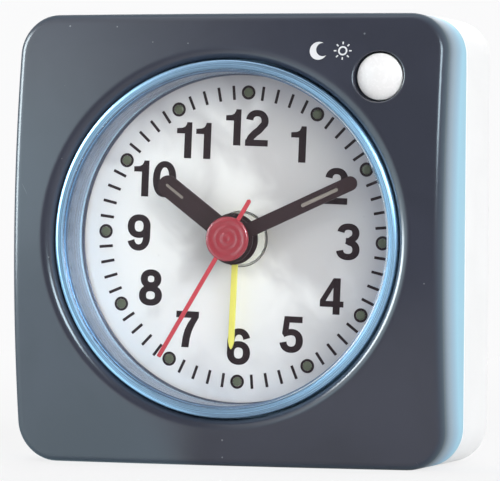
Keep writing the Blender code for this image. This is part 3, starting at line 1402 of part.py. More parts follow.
def negative_contact(material):
    # A conical spring that winds out from the battery's flat end to the bay's wall
    start = BATTERY_LEFT - TURN_GAP - CONTACT_WIRE
    end = -BAY_HALF + TURN_GAP + CONTACT_WIRE
    count = round(CONTACT_TURNS * WIRE_TURN_STEPS)
    points = []
    for k in range(count + 1):
        share = k / count
        angle = tau * CONTACT_TURNS * share
        radius = CONTACT_SPRING_TIP + (CONTACT_SPRING_RADIUS - CONTACT_SPRING_TIP) * share
        points.append((start + (end - start) * share, radius * cos(angle), radius * sin(angle)))
    return wire("battery_contact_negative", points, CONTACT_WIRE, material, (0, BATTERY_Y, BATTERY_Z))


def battery_door(material):
    middle = (BAY_FLOOR_RISE + BAY_TOP) / 2
    outline = [(x, z - middle) for x, z in door_outline(TURN_GAP)]
    return stacked("battery_door", DOOR_Y, [(BACK_Y, [outline])], material, (0, 0, middle))


def main():
    for obj in list(bpy.data.objects):
        bpy.data.objects.remove(obj, do_unlink=True)

    slate = make_material("slate_metallic", (0.075, 0.085, 0.11), 0.35, 0.5)
    white = make_material("white_plastic", (0.82, 0.83, 0.84), 0.4)
    blue = make_material("light_blue_metallic", (0.33, 0.55, 0.79), 0.25, 0.7)
    clear = make_material("clear_plastic", (0.95, 0.97, 1.0), 0.03, alpha=0.15, transmission=1.0)
    silver = make_material("silver_dial", (0.62, 0.62, 0.65), 0.35, 0.4)
    dark = make_material("dark_hand", (0.045, 0.03, 0.035), 0.35)
    red = make_material("red_hand", (0.55, 0.06, 0.09), 0.35)
    yellow = make_material("yellow_hand", (0.90, 0.86, 0.22), 0.45)
    natural = make_material("natural_plastic", (0.75, 0.73, 0.66), 0.45)
    grey = make_material("grey_plastic", (0.25, 0.26, 0.28), 0.5)
    magnet = make_material("magnet", (0.10, 0.09, 0.09), 0.4, 0.3)
    iron = make_material("iron", (0.45, 0.46, 0.48), 0.35, 1.0)
    copper = make_material("copper_wire", (0.60, 0.25, 0.10), 0.35, 0.9)
    steel = make_material("spring_steel", (0.60, 0.61, 0.63), 0.25, 1.0)
    green = make_material("board_green", (0.03, 0.22, 0.10), 0.45)
    black = make_material("black_resin", (0.02, 0.02, 0.02), 0.4)
    brass = make_material("brass", (0.75, 0.55, 0.22), 0.3, 1.0)
    cell = make_material("battery_jacket", (0.12, 0.14, 0.30), 0.35, 0.3)

    front_shell(slate)
    rear_shell(white)
    case_screws(steel)
    bezel_ring(blue)
    lens(clear)
    dial(silver)
    alarm_hand(yellow)
    hour_hand(dark)
    minute_hand(dark)
    second_hand(red)
    snooze_button(white)
    snooze_spring(steel)
    snooze_switch(black)
    movement_tray(natural)
    movement_bridge(natural)
    movement_cover(natural)
    second_wheel(natural)
    third_wheel(natural)
    centre_wheel(natural)
    fifth_wheel(natural)
    rotor(magnet)
    cannon_pinion(natural)
    motion_wheel(natural)
    hour_wheel(natural)
    alarm_wheel(natural)
    time_set_arbor(natural)
    alarm_set_arbor(natural)
    set_knob("time_set_knob", TIME_KNOB_RADIUS, TIME_SET_AT, grey)
    set_knob("alarm_set_knob", ALARM_KNOB_RADIUS, ALARM_SET_AT, grey)
    stator_plate(iron)
    coil_bobbin(natural)
    coil_winding(copper)
    circuit_board(green)
    control_chip(black)
    quartz_crystal(steel)
    dial_lamp(clear)
    alarm_switch(grey)
    switch_contact(steel)
    buzzer_disc(brass)
    battery(cell)
    positive_contact(steel)
    negative_contact(steel)
    battery_door(white)


main()
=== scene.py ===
# Travel alarm clock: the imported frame's pieces made smooth and finished. Metres, dial towards -Y.

import bpy
import bmesh
import numpy as np
from math import asin, atan2, cos, hypot, pi, radians, sin, tan, tau
from mathutils import Matrix, Vector
from mathutils.geometry import delaunay_2d_cdt


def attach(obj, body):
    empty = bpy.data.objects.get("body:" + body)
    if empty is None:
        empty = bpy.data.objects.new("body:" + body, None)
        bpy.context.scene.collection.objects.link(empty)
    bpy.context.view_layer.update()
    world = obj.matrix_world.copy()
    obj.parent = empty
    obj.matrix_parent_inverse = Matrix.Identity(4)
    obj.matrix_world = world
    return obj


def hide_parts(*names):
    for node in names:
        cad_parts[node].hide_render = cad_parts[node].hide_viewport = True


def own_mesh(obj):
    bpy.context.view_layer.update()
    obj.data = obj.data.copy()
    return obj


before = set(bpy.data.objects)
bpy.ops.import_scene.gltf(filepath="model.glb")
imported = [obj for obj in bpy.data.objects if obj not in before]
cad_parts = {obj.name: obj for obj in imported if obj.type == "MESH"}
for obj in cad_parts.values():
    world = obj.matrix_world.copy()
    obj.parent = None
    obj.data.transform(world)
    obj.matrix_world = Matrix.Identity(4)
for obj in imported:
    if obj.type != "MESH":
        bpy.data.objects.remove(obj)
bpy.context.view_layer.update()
scene = bpy.context.scene
print("frame loaded:", len(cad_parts), "nodes")


def addObject(name, data):
    made = bpy.data.objects.new(name, data)
    scene.collection.objects.link(made)
    return made


# Camera

camera = {
    "place": (0.17152, -0.5638, 0.034786),
    "yaw": 0.298, "pitch": -0.001, "roll": 0.009,   # radians
    "lens": 298.8, "sensor": 36, "shift": (0.00966, -0.05765), "clip": (0.01, 10),
}


def makeCamera():
    data = bpy.data.cameras.new("photoCamera")
    data.lens, data.sensor_width = camera["lens"], camera["sensor"]
    data.shift_x, data.shift_y = camera["shift"]
    data.clip_start, data.clip_end = camera["clip"]
    scene.camera = addObject("photoCamera", data)
    turn = Matrix.Rotation(camera["yaw"], 4, "Z") @ Matrix.Rotation(pi / 2 - camera["pitch"], 4, "X")
    turn = turn @ Matrix.Rotation(camera["roll"], 4, "Z")
    scene.camera.matrix_world = Matrix.Translation(camera["place"]) @ turn


makeCamera()


# Small helpers for shader nodes

def rgb(red, green, blue):
    # A colour as it is seen, 0 to 255, made linear
    def linear(value):
        value /= 255
        return value / 12.92 if value <= 0.04045 else ((value + 0.055) / 1.055) ** 2.4
    return (linear(red), linear(green), linear(blue), 1.0)


def darkened(color, share):
    return tuple(part * share for part in color[:3]) + (1.0,)


class nodeValue:
    # What a node puts out; a sum or product with it adds a Math node
    def __init__(self, socket):
        self.socket, self.tree = socket, socket.id_data

    def __add__(self, other):
        return calc("ADD", self, other)

    def __sub__(self, other):
        return calc("SUBTRACT", self, other)

    def __rsub__(self, other):
        return calc("SUBTRACT", other, self)

    def __mul__(self, other):
        return calc("MULTIPLY", self, other)

    def __truediv__(self, other):
        return calc("DIVIDE", self, other)

    def __rtruediv__(self, other):
        return calc("DIVIDE", other, self)


def node(tree, kind, values=None, **settings):
    made = tree.nodes.new("ShaderNode" + kind)
    for key, value in settings.items():
        setattr(made, key, value)
    for key, value in (values or {}).items():
        if isinstance(value, nodeValue):
            tree.links.new(value.socket, made.inputs[key])
        else:
            made.inputs[key].default_value = value
    return made


def put(tree, kind, values=None, output=0, **settings):
    return nodeValue(node(tree, kind, values, **settings).outputs[output])


def named(sockets):
    return {socket.name: nodeValue(socket) for socket in sockets}


def feed(sockets, values):
    for key, value in values.items():
        value.tree.links.new(value.socket, sockets[key])


def calc(operation, first, second=0.0, clamp=False):
    tree = first.tree if isinstance(first, nodeValue) else second.tree
    return put(tree, "Math", {0: first, 1: second}, operation=operation, use_clamp=clamp)


def blend(share, first, second):
    return put(share.tree, "Mix", {0: share, 6: first, 7: second}, 2, data_type="RGBA")


def ramp(value, stops):
    made = node(value.tree, "ValToRGB", {0: value})
    elements = made.color_ramp.elements
    while len(elements) < len(stops):
        elements.new(0.5)
    for element, (place, _) in zip(elements, stops):
        element.position = place
    for element, (_, color) in zip(elements, stops):
        element.color = color
    return nodeValue(made.outputs[0])


def scaled(value, low, high, toLow=0.0, toHigh=1.0, kind="SMOOTHSTEP"):
    limits = {0: value, 1: low, 2: high, 3: toLow, 4: toHigh}
    return put(value.tree, "MapRange", limits, interpolation_type=kind)


def position(tree):
    return put(tree, "TexCoord", output="Object")


def axes(vector):
    return [nodeValue(socket) for socket in node(vector.tree, "SeparateXYZ", {0: vector}).outputs]


def span(across, up):
    return calc("SQRT", across * across + up * up)


def newGroup(name, inputs, outputs):
    tree = bpy.data.node_groups.new(name, "ShaderNodeTree")
    tree.interface.new_socket("Position", in_out="INPUT", socket_type="NodeSocketVector")
    for label, value in inputs.items():
        tree.interface.new_socket(label, in_out="INPUT", socket_type="NodeSocketFloat").default_value = value
    for label in outputs:
        tree.interface.new_socket(label, in_out="OUTPUT", socket_type="NodeSocketFloat")
    return tree, named(tree.nodes.new("NodeGroupInput").outputs), tree.nodes.new("NodeGroupOutput").inputs


def useGroup(tree, group, values):
    return named(node(tree, "Group", {"Position": position(tree), **values}, node_tree=group).outputs)


# Shared effects

def makeMouldedGrain():
    # The soft unevenness and fine pebble of a moulded or painted surface
    sizes = {"Grain Size": 0.0003, "Cloud Size": 0.012}
    tree, start, end = newGroup("mouldedGrain", sizes, ("Cloud", "Height"))
    place = start["Position"]
    pebble = put(tree, "TexNoise", {"Vector": place, "Scale": 1.0 / start["Grain Size"], "Detail": 3.0})
    cloud = put(tree, "TexNoise", {"Vector": place, "Scale": 1.0 / start["Cloud Size"], "Detail": 4.0,
                                   "Distortion": 0.4})
    feed(end, {"Cloud": scaled(cloud, 0.3, 0.7), "Height": pebble})
    return tree


def makeHandling():
    # Dust and hairline scratches, few and faint
    sizes = {"Dust Spacing": 0.0025, "Dust Size": 0.05, "Scratch Spacing": 0.006, "Scratch Width": 0.012}
    tree, start, end = newGroup("handling", sizes, ("Dust", "Scratches"))

    def spots(vector, spacing, size, axis, low, high):
        # A spot in each cell whose random colour is above the limits
        cells = named(node(tree, "TexVoronoi", {"Vector": vector, "Scale": 1.0 / spacing}).outputs)
        chosen = scaled(axes(cells["Color"])[axis], low, high)
        return calc("LESS_THAN", cells["Distance"], size * chosen)

    turned = put(tree, "VectorRotate", {"Vector": start["Position"], "Angle": 0.5}, rotation_type="Y_AXIS")
    # Drawn out, the spots become lines
    drawn = put(tree, "VectorMath", {0: turned, 1: (1.0, 0.0, 0.03)}, operation="MULTIPLY")
    feed(end, {"Dust": spots(start["Position"], start["Dust Spacing"], start["Dust Size"], 0, 0.80, 0.86),
               "Scratches": spots(drawn, start["Scratch Spacing"], start["Scratch Width"], 1, 0.72, 0.80)})
    return tree


def makeTurnedRings():
    # Fine rings round the hands' axis, as turning and drawing leave them
    sizes = {"Centre Z": 0.03155, "Pitch": 0.0002}
    tree, start, end = newGroup("turnedRings", sizes, ("Radius", "Streak", "Height"))
    x, y, z = axes(start["Position"])
    radius = span(x, z - start["Centre Z"])
    place = put(tree, "CombineXYZ", {0: radius / start["Pitch"], 1: y / start["Pitch"], 2: x * 60.0})
    streak = put(tree, "TexNoise", {"Vector": place, "Scale": 1.0, "Detail": 2.0})
    feed(end, {"Radius": radius, "Streak": scaled(streak, 0.3, 0.7), "Height": streak})
    return tree


mouldedGrain = makeMouldedGrain()
handling = makeHandling()
turnedRings = makeTurnedRings()


# Materials

def newMaterial(name, values):
    made = bpy.data.materials.new(name)
    made.use_nodes = True
    sockets = made.node_tree.nodes["Principled BSDF"].inputs
    for key, value in values.items():
        sockets[key].default_value = value
    return made, made.node_tree, sockets


def bump(sockets, height, depth, strength=1.0):
    values = {"Height": height, "Distance": depth, "Strength": strength}
    feed(sockets, {"Normal": put(height.tree, "Bump", values)})


def around(value, below, above):
    return (0.3, 0.7, value - below, value + above)


def plastic(name, color, roughness, grain=0.00025, depth=0.000004, clouds=0.10, cloudSize=0.012, dust=0.0,
            spread=(0.05, 0.07), values=None):
    # A plain finish: a little cloudy in colour and gloss, with a fine pebble
    made, tree, sockets = newMaterial(name, values or {})
    look = useGroup(tree, mouldedGrain, {"Grain Size": grain, "Cloud Size": cloudSize})
    tint = blend(look["Cloud"], darkened(color, 1 - clouds), color)
    if dust:
        specks = useGroup(tree, handling, {"Dust Size": 0.05})
        tint = blend(specks["Dust"] * dust, tint, rgb(150, 150, 148))
    feed(sockets, {"Base Color": tint, "Roughness": scaled(look["Height"], *around(roughness, *spread))})
    bump(sockets, look["Height"], depth)
    return made


def metal(name, color, roughness):
    return plastic(name, color, roughness, grain=0.0004, depth=0.000002, clouds=0.18, cloudSize=0.004,
                   spread=(0.06, 0.1), values={"Metallic": 1.0})


case = {
    "halfWidth": 0.0311, "halfHeight": 0.03145, "cornerRadius": 0.0055,
    "bow": 0.0035,               # how far the face's middle stands proud of its top and bottom
    "sideBow": 0.0018,           # and, on top of that, of its sides
    "faceY": -0.0122, "edgeRound": 0.0011, "edgeSteps": 7, "frontWall": 0.0018, "rearWall": 0.0019,
    "partingFront": -0.0022, "partingRear": -0.00195, "partingEase": 0.00012,
    "backY": 0.0131, "backRound": 0.0018, "backSteps": 9,
    "axisZ": 0.03155,            # the hands' axis
    "openingRadius": 0.0251, "lipRound": 0.0017, "lipSteps": 9, "collarBack": -0.0102, "collarWall": 0.0015,
    "seam": 0.00025,             # flat rim of the face beside each rounded edge
    "faceSpacing": 0.0011,       # between the points that carry the face's bow
    "cornerSteps": 14, "sideSteps": 40, "circleSteps": 192,
    # Painted sheen inside the lip round the dial, paler most of all at the right
    "lipSheenColor": rgb(140, 160, 180), "lipSheenRadii": (0.0251, 0.0258, 1.0, 0.0),   # full and none, by radius
    "lipSheenTurn": radians(108), "lipSheenShares": (0.0, 0.9, 0.12, 0.8),             # most of all at the right
    "faceColor": rgb(51, 54, 68), "faceRoughness": 0.46, "faceCloud": 0.80,
    "dustColor": rgb(170, 176, 180), "dustShare": 0.35,
    "scratchColor": rgb(160, 165, 175), "scratchShare": 0.22,
    # Painted reflection on the sides: colour by depth behind the face's edge, in millimetres, standing in for
    # the light the glossy sides reflect
    "sideSheenColors": ((0.0, rgb(60, 66, 80)), (0.9, rgb(84, 98, 108)), (1.6, rgb(96, 113, 124)),
                   (3.2, rgb(136, 153, 168)), (4.6, rgb(150, 172, 188)), (7.0, rgb(156, 190, 212)),
                   (9.0, rgb(164, 210, 231)), (11.4, rgb(164, 208, 228))),
    "sideSheenFade": (0.0010, 0.0003),   # the sides' colours come in between these depths in from the outer wall
}
axis = (0.0, case["axisZ"])


def facePaint():
    # Slate on the bowed face, with a painted reflection fading through grey to light blue down the sides
    made, tree, sockets = newMaterial("frontPaint", {"Coat Roughness": 0.20, "Coat IOR": 1.6,
                                                     "Specular IOR Level": 0.08})
    x, y, z = axes(position(tree))
    up, across = (z - case["halfHeight"]) / case["halfHeight"], x / case["halfWidth"]
    proud = (1.0 - up * up) * case["bow"] + (1.0 - across * across) * case["sideBow"]
    # Painted reflection down the sides, by depth behind the face's edge
    deepest = case["sideSheenColors"][-1][0]
    depth = calc("DIVIDE", (y + proud - case["faceY"]) * 1000.0, deepest, clamp=True)
    sides = ramp(depth, [(mm / deepest, color) for mm, color in case["sideSheenColors"]])

    def nearWall(value, wall):
        return scaled(value, wall - case["sideSheenFade"][0], wall - case["sideSheenFade"][1])

    # Only the outer walls take the painted reflection of the sides, not the lip round the dial
    wide, high = calc("ABSOLUTE", x), calc("ABSOLUTE", z - case["halfHeight"])
    radius = case["cornerRadius"]
    corner = span(calc("MAXIMUM", 0.0, wide - (case["halfWidth"] - radius)),
                  calc("MAXIMUM", 0.0, high - (case["halfHeight"] - radius)))
    walls = calc("MAXIMUM", nearWall(wide, case["halfWidth"]), nearWall(high, case["halfHeight"]))
    outer = calc("MAXIMUM", walls, nearWall(corner, radius))
    look = useGroup(tree, mouldedGrain, {"Grain Size": 0.00022, "Cloud Size": 0.016})
    wear = useGroup(tree, handling, {"Dust Spacing": 0.0018, "Dust Size": 0.075, "Scratch Spacing": 0.0015,
                                     "Scratch Width": 0.022})
    face = blend(look["Cloud"], darkened(case["faceColor"], case["faceCloud"]), case["faceColor"])
    # Painted sheen: paler inside the lip, most of all at the right, standing in for light reflected there
    over = z - case["axisZ"]
    turn = calc("COSINE", calc("ARCTAN2", x, over) - case["lipSheenTurn"])
    inside = scaled(span(x, over), *case["lipSheenRadii"]) * scaled(turn, *case["lipSheenShares"])
    color = blend(outer, blend(inside, face, case["lipSheenColor"]), sides)
    color = blend(wear["Dust"] * case["dustShare"], color, case["dustColor"])
    color = blend(wear["Scratches"] * (1.0 - outer) * case["scratchShare"], color, case["scratchColor"])
    feed(sockets, {"Base Color": color, "Coat Weight": 1.0 - outer,   # the sides are matt
                   "Roughness": scaled(look["Height"], *around(case["faceRoughness"], 0.03, 0.05))})
    bump(sockets, look["Height"], 0.0000015)
    return made


ring = {
    "rimY": -0.0155, "outer": 0.02485, "bore": 0.02355, "ledgeBore": 0.02315, "ledgeY": -0.0145,
    "outerRound": 0.00045, "innerRound": 0.00012, "flange": 0.0260, "flangeY": -0.0099,
    "flangeBack": -0.0089, "foot": 0.0244, "footY": -0.00745, "footLip": 0.02295, "footHeight": 0.00045,
    "crown": 0.00022,            # rise of the rim's middle above its edges
    # Painted shade: the rim shade colour darkens the rim at the top and the bottom
    "rimColor": rgb(160, 199, 230), "streakColor": rgb(136, 178, 212), "rimShadeColor": rgb(112, 132, 156),
    "rimShadeShares": (0.1, 1.0, 0.0, 0.55),
    # Painted reflection and shade down the well wall, by depth
    "wellLightShadeColors": ((0.0, rgb(112, 130, 155)), (0.45, rgb(122, 138, 160)), (0.70, rgb(136, 156, 180)),
                   (0.76, rgb(180, 218, 240)), (0.82, rgb(156, 188, 214)), (0.88, rgb(112, 122, 142)),
                   (1.0, rgb(92, 88, 100))),
    "wellFade": (0.02335, 0.0235, 1.0, 0.0), "roughness": (0.19, 0.32),
}


def ringPaint():
    made, tree, sockets = newMaterial("ringPaint", {"Metallic": 0.6})
    rings = useGroup(tree, turnedRings, {"Pitch": 0.00012})
    x, y, z = axes(position(tree))
    rim = blend(rings["Streak"], ring["streakColor"], ring["rimColor"])
    # Painted shade: darker at the top and the bottom, where the rim reflects less light
    turn = calc("ARCTAN2", x, z - case["axisZ"]) * 2.0
    rim = blend(scaled(calc("COSINE", turn), *ring["rimShadeShares"]), rim, ring["rimShadeColor"])
    # Down the well the wall has a painted reflection, a pale line above its foot, and painted shade at the
    # foot
    inWell = scaled(rings["Radius"], *ring["wellFade"])
    wellShading = ramp(scaled(y, ring["ledgeY"], ring["footY"], kind="LINEAR"), ring["wellLightShadeColors"])
    feed(sockets, {"Base Color": blend(inWell, rim, wellShading),
                   "Roughness": scaled(rings["Streak"], 0.0, 1.0, *ring["roughness"])})
    bump(sockets, rings["Height"] * (1.0 - inWell), 0.000002)
    return made


dial = {
    "y": -0.00715, "thickness": 0.0005, "radius": 0.0246, "hole": 0.00385, "edge": 0.00004,
    "turn": 1.85,   # degrees
    "printShift": (0.00032, 0.00024),   # the print stands this far right of the axis and above it
    # Painted shade: the edge shade colour darkens the dial's rim, most at the top right
    "lightColor": rgb(252, 252, 250), "darkColor": rgb(206, 204, 204), "edgeShadeColor": rgb(186, 181, 186),
    # Painted light: the low lit colour pales the dial below the middle
    "lowLitColor": rgb(240, 240, 242), "dustColor": rgb(150, 150, 152),
    # Painted light and shade: fans by direction, and a painted tilt of light towards 8 o'clock; turns, then
    # shares by radius
    "fanTurn": 0.2, "fanShares": (0.008, 0.017, 0.17, 0.0),
    "lightTiltTurn": 2.1, "lightTiltShares": (0.003, 0.013, 0.0, 0.23),
    "shade": (0.32, 0.72), "roughness": (0.36, 0.46),
    "lowLitHeights": (-0.016, -0.001, 1.0, 0.0), "lowLitWidths": (0.002, 0.014, 1.0, 0.0),
    "edgeShadeRadii": (0.0165, 0.0236),
}


def dialSilver():
    # Silver lacquer, a little cloudy, with a painted sheen that fans out from the middle, painted light
    # towards 8 o'clock and below the middle, and painted shade near the edge
    made, tree, sockets = newMaterial("dialSilver", {"Metallic": 0.10, "Specular IOR Level": 0.35})
    place = position(tree)
    x, _, z = axes(place)
    up = z - case["axisZ"]
    bearing = calc("ARCTAN2", x, up)
    rings = useGroup(tree, turnedRings, {"Pitch": 0.00016})
    # Painted light and shade: fans by direction, and a tilt of light towards 8 o'clock
    fans = calc("COSINE", bearing * 2.0 + dial["fanTurn"])
    lightTilt = calc("COSINE", bearing + dial["lightTiltTurn"])
    cloud = put(tree, "TexNoise", {"Vector": place, "Scale": 95.0, "Detail": 3.0, "Distortion": 0.6})
    mixed = fans * scaled(rings["Radius"], *dial["fanShares"]) + cloud
    mixed = mixed + lightTilt * scaled(rings["Radius"], *dial["lightTiltShares"])
    color = blend(scaled(mixed, *dial["shade"]), dial["darkColor"], dial["lightColor"])
    # Painted light: paler below the middle
    low = scaled(up, *dial["lowLitHeights"]) * scaled(calc("ABSOLUTE", x), *dial["lowLitWidths"])
    color = blend(low * 0.5, color, dial["lowLitColor"])
    # Painted shade near the edge, most at the top right, least towards 8 o'clock
    color = blend(scaled(rings["Radius"], *dial["edgeShadeRadii"]) * (0.5 - lightTilt * 0.45), color, dial["edgeShadeColor"])
    specks = useGroup(tree, handling, {"Dust Spacing": 0.003, "Dust Size": 0.04})
    feed(sockets, {"Base Color": blend(specks["Dust"] * 0.3, color, dial["dustColor"]),
                   "Roughness": scaled(rings["Streak"], 0.0, 1.0, *dial["roughness"])})
    bump(sockets, rings["Height"], 0.0000015)
    return made


def lensPlastic():
    clear = {"Base Color": (0.99, 0.99, 0.99, 1.0), "Roughness": 0.02, "IOR": 1.3, "Transmission Weight": 1.0}
    made, tree, sockets = newMaterial("lensPlastic", clear)
    look = useGroup(tree, mouldedGrain, {"Grain Size": 0.006})
    bump(sockets, look["Height"], 0.00001, 0.1)
    return made


def cordedCopper():
    # Fine enamelled wire, wound side by side along X
    made, tree, sockets = newMaterial("copperWinding", {"Metallic": 0.9, "Roughness": 0.35})
    wirePitch = 0.00014
    wave = calc("SINE", axes(position(tree))[0] * (tau / wirePitch))
    # Painted shade in the grooves between the turns, paler on their tops
    feed(sockets, {"Base Color": blend(scaled(wave, -1.0, 1.0), rgb(118, 62, 32), rgb(212, 128, 78))})
    bump(sockets, wave, 0.00002)
    return made


def boardLacquer():
    # Green lacquer over copper tracks
    made, tree, sockets = newMaterial("boardLacquer", {"Roughness": 0.3})
    place = position(tree)
    tracks = put(tree, "TexBrick", {"Vector": place, "Scale": 420.0, "Mortar Size": 0.05}, "Fac", offset=0.4)
    shade = put(tree, "TexNoise", {"Vector": place, "Scale": 500.0})
    color = blend(tracks, rgb(32, 120, 66), rgb(20, 92, 48))
    feed(sockets, {"Base Color": blend(shade * 0.4, color, rgb(14, 70, 38))})
    bump(sockets, tracks, 0.00002)
    return made


cell = {
    "x": (-0.0217, 0.0228), "y": 0.0057, "z": 0.0085, "radius": 0.00525, "nub": 0.0019, "nubLength": 0.0010,
    # Bare metal at the ends, a wide dark band and a light one, by share of the length
    "bands": ((0.0, rgb(196, 197, 200)), (0.015, rgb(38, 52, 92)), (0.66, rgb(38, 52, 92)),
              (0.665, rgb(206, 210, 214)), (0.965, rgb(206, 210, 214)), (0.972, rgb(196, 197, 200))),
    "bareShares": ((0.012, 0.016, 1.0, 0.0), (0.968, 0.974)),
}


def cellJacket():
    made, tree, sockets = newMaterial("cellJacket", {"Roughness": 0.28})
    start, end = cell["x"]
    along = (axes(position(tree))[0] - start) / (end - start)
    low, high = [scaled(along, *shares) for shares in cell["bareShares"]]
    feed(sockets, {"Base Color": ramp(along, cell["bands"]), "Metallic": (low + high) * 0.9})
    bump(sockets, useGroup(tree, mouldedGrain, {"Grain Size": 0.0005})["Height"], 0.000004)
    return made


paint = {
    "front": facePaint(),
    "white": plastic("whitePlastic", rgb(244, 245, 246), 0.36, grain=0.00016, clouds=0.03),
    "button": plastic("buttonPlastic", rgb(240, 240, 241), 0.24, grain=0.0004, depth=0.000001, clouds=0.02),
    "ring": ringPaint(),
    "lens": lensPlastic(),
    "dial": dialSilver(),
    "print": plastic("dialPrint", rgb(44, 31, 36), 0.5, grain=0.0002, clouds=0.12,
                     values={"Specular IOR Level": 0.12}),
    "dotFill": plastic("dotFill", rgb(92, 98, 76), 0.6, grain=0.00015, depth=0.00001, clouds=0.15),
    "dark": plastic("darkLacquer", rgb(50, 33, 37), 0.45, grain=0.0002, depth=0.000002,
                    values={"Specular IOR Level": 0.2}),
    "lume": plastic("paleLume", rgb(146, 138, 130), 0.6, grain=0.00012, depth=0.00001, clouds=0.18),
    "yellow": plastic("yellowLacquer", rgb(243, 238, 112), 0.40, clouds=0.04),
    "red": plastic("redLacquer", rgb(200, 58, 72), 0.34, clouds=0.08),
    "cap": plastic("capRed", rgb(170, 56, 69), 0.17, grain=0.0006, clouds=0.16, dust=0.2,
                   values={"Specular IOR Level": 0.8}),
    "faceInk": plastic("faceInk", rgb(222, 224, 228), 0.5, grain=0.0002, clouds=0.05),
    "natural": plastic("naturalPlastic", rgb(243, 243, 240), 0.42, clouds=0.03),
    "wheel": plastic("wheelPlastic", rgb(231, 228, 216), 0.38, grain=0.0003, clouds=0.05),
    "grey": plastic("greyPlastic", rgb(118, 121, 127), 0.42, grain=0.00018, depth=0.000006, clouds=0.06,
                    dust=0.25),
    "black": plastic("blackResin", rgb(32, 32, 34), 0.3, clouds=0.2),
    "steel": metal("zincSteel", rgb(186, 187, 190), 0.32),
    "spring": metal("springSteel", rgb(200, 201, 204), 0.24),
    "iron": metal("softIron", rgb(160, 160, 163), 0.38),
    "brass": metal("rolledBrass", rgb(214, 178, 104), 0.30),
    "can": metal("drawnCan", rgb(202, 203, 206), 0.26),
    "magnet": plastic("sinteredMagnet", rgb(72, 68, 66), 0.5, grain=0.0001, depth=0.00001, clouds=0.25),
    "copper": cordedCopper(),
    "board": boardLacquer(),
    "lamp": newMaterial("lampGlass", {"Roughness": 0.03, "IOR": 1.45, "Transmission Weight": 1.0})[0],
    "cell": cellJacket(),
}
print("materials made:", len(paint))


# Small helpers for meshes

def filleted(points, closed=False, steps=5):
    # Rounds each corner of a line of (u, v, radius) points with an arc
    done = []
    count = len(points)
    for k, (u, v, radius) in enumerate(points):
        if radius <= 0 or (not closed and k in (0, count - 1)):
            done.append((u, v))
            continue
        here = Vector((u, v))
        before = Vector(points[k - 1][:2]) - here
        after = Vector(points[(k + 1) % count][:2]) - here
        half = before.angle(after) / 2
        reach = min(radius / tan(half), before.length * 0.49, after.length * 0.49)
        middle = here + (before.normalized() + after.normalized()).normalized() * reach / cos(half)
        start = here + before.normalized() * reach - middle
        end = here + after.normalized() * reach - middle
        sweep = start.angle(end)
        for j in range(steps + 1):
            share = j / steps
            point = middle + (start * sin((1 - share) * sweep) + end * sin(share * sweep)) / sin(sweep)
            done.append((point.x, point.y))
    return done


def circleLoop(radius, steps, centre=(0.0, 0.0)):
    angles = [tau * k / steps for k in range(steps)]
    return [(centre[0] + radius * cos(angle), centre[1] + radius * sin(angle)) for angle in angles]


def boxLoop(left, right, bottom, top, radius, steps=5):
    corners = [(left, bottom, radius), (right, bottom, radius), (right, top, radius), (left, top, radius)]
    return filleted(corners, closed=True, steps=steps)


def grown(loop, reach):
    # The loop pushed outwards by the reach; the loop runs anticlockwise
    done = []
    for k, (x, z) in enumerate(loop):
        before, after = loop[k - 1], loop[(k + 1) % len(loop)]
        side = Vector((after[1] - before[1], before[0] - after[0])).normalized()
        done.append((x + side.x * reach, z + side.y * reach))
    return done


def addRing(bm, loop, y):
    # y is a depth, or a function of the point
    return [bm.verts.new((x, y(x, z) if callable(y) else y, z)) for x, z in loop]


def bridge(bm, first, second):
    for k in range(len(first)):
        j = (k + 1) % len(first)
        bm.faces.new((first[k], first[j], second[j], second[k]))


def addWall(bm, *steps):
    # A wall through rings, each given as a loop and its y; gives the first ring and the last
    rings = [addRing(bm, loop, y) for loop, y in steps]
    for first, second in zip(rings, rings[1:]):
        bridge(bm, first, second)
    return rings[0], rings[-1]


def quarter(radius, steps):
    # Pairs of how far in and how far down a rounded edge has come
    angles = [k / steps * pi / 2 for k in range(steps + 1)]
    return [(radius * (1 - cos(angle)), radius * (1 - sin(angle))) for angle in angles]


def holds(points, loop):
    # Which of the points lie inside the loop
    inside = np.zeros(len(points), bool)
    x, z = points[:, 0], points[:, 1]
    ends = np.roll(loop, -1, axis=0)
    for (ax, az), (bx, bz) in zip(loop, ends):
        crossing = (az > z) != (bz > z)
        with np.errstate(divide="ignore", invalid="ignore"):
            inside ^= crossing & (x < (bx - ax) * (z - az) / (bz - az) + ax)
    return inside


def fillRings(bm, outer, inner=(), lift=None, spacing=0.0):
    # Fills the room between a ring and the rings inside it; the spacing adds points to a curved face
    rings = [outer] + list(inner)
    loops = [np.array([(vert.co.x, vert.co.z) for vert in one]) for one in rings]
    made = [vert for one in rings for vert in one]
    flat = [Vector((vert.co.x, vert.co.z)) for vert in made]
    edges = []
    start = 0
    for one in rings:
        edges += [(start + k, start + (k + 1) % len(one)) for k in range(len(one))]
        start += len(one)
    if spacing:
        low, high = loops[0].min(0), loops[0].max(0)
        grid = np.array([(x, z) for z in np.arange(low[1], high[1], spacing)
                         for x in np.arange(low[0], high[0], spacing)])
        keep = holds(grid, loops[0])
        for loop in loops[1:]:
            keep &= ~holds(grid, loop)
        edgePoints = np.vstack(loops)
        for k in np.nonzero(keep)[0]:
            if np.hypot(*(edgePoints - grid[k]).T).min() > spacing * 0.45:
                x, z = grid[k]
                made.append(bm.verts.new((x, lift(x, z), z)))
                flat.append(Vector((x, z)))
    points, _, faces, origins, _, _ = delaunay_2d_cdt(flat, edges, [], 0, 1e-8)
    middles = np.array([[sum(points[k][part] for k in face) / len(face) for part in (0, 1)]
                        for face in faces])
    keep = holds(middles, loops[0])
    for loop in loops[1:]:
        keep &= ~holds(middles, loop)
    for face, wanted in zip(faces, keep):
        if wanted:
            corners = [made[origins[k][0]] for k in face]
            if len(set(corners)) == len(corners) and bm.faces.get(corners) is None:
                bm.faces.new(corners)


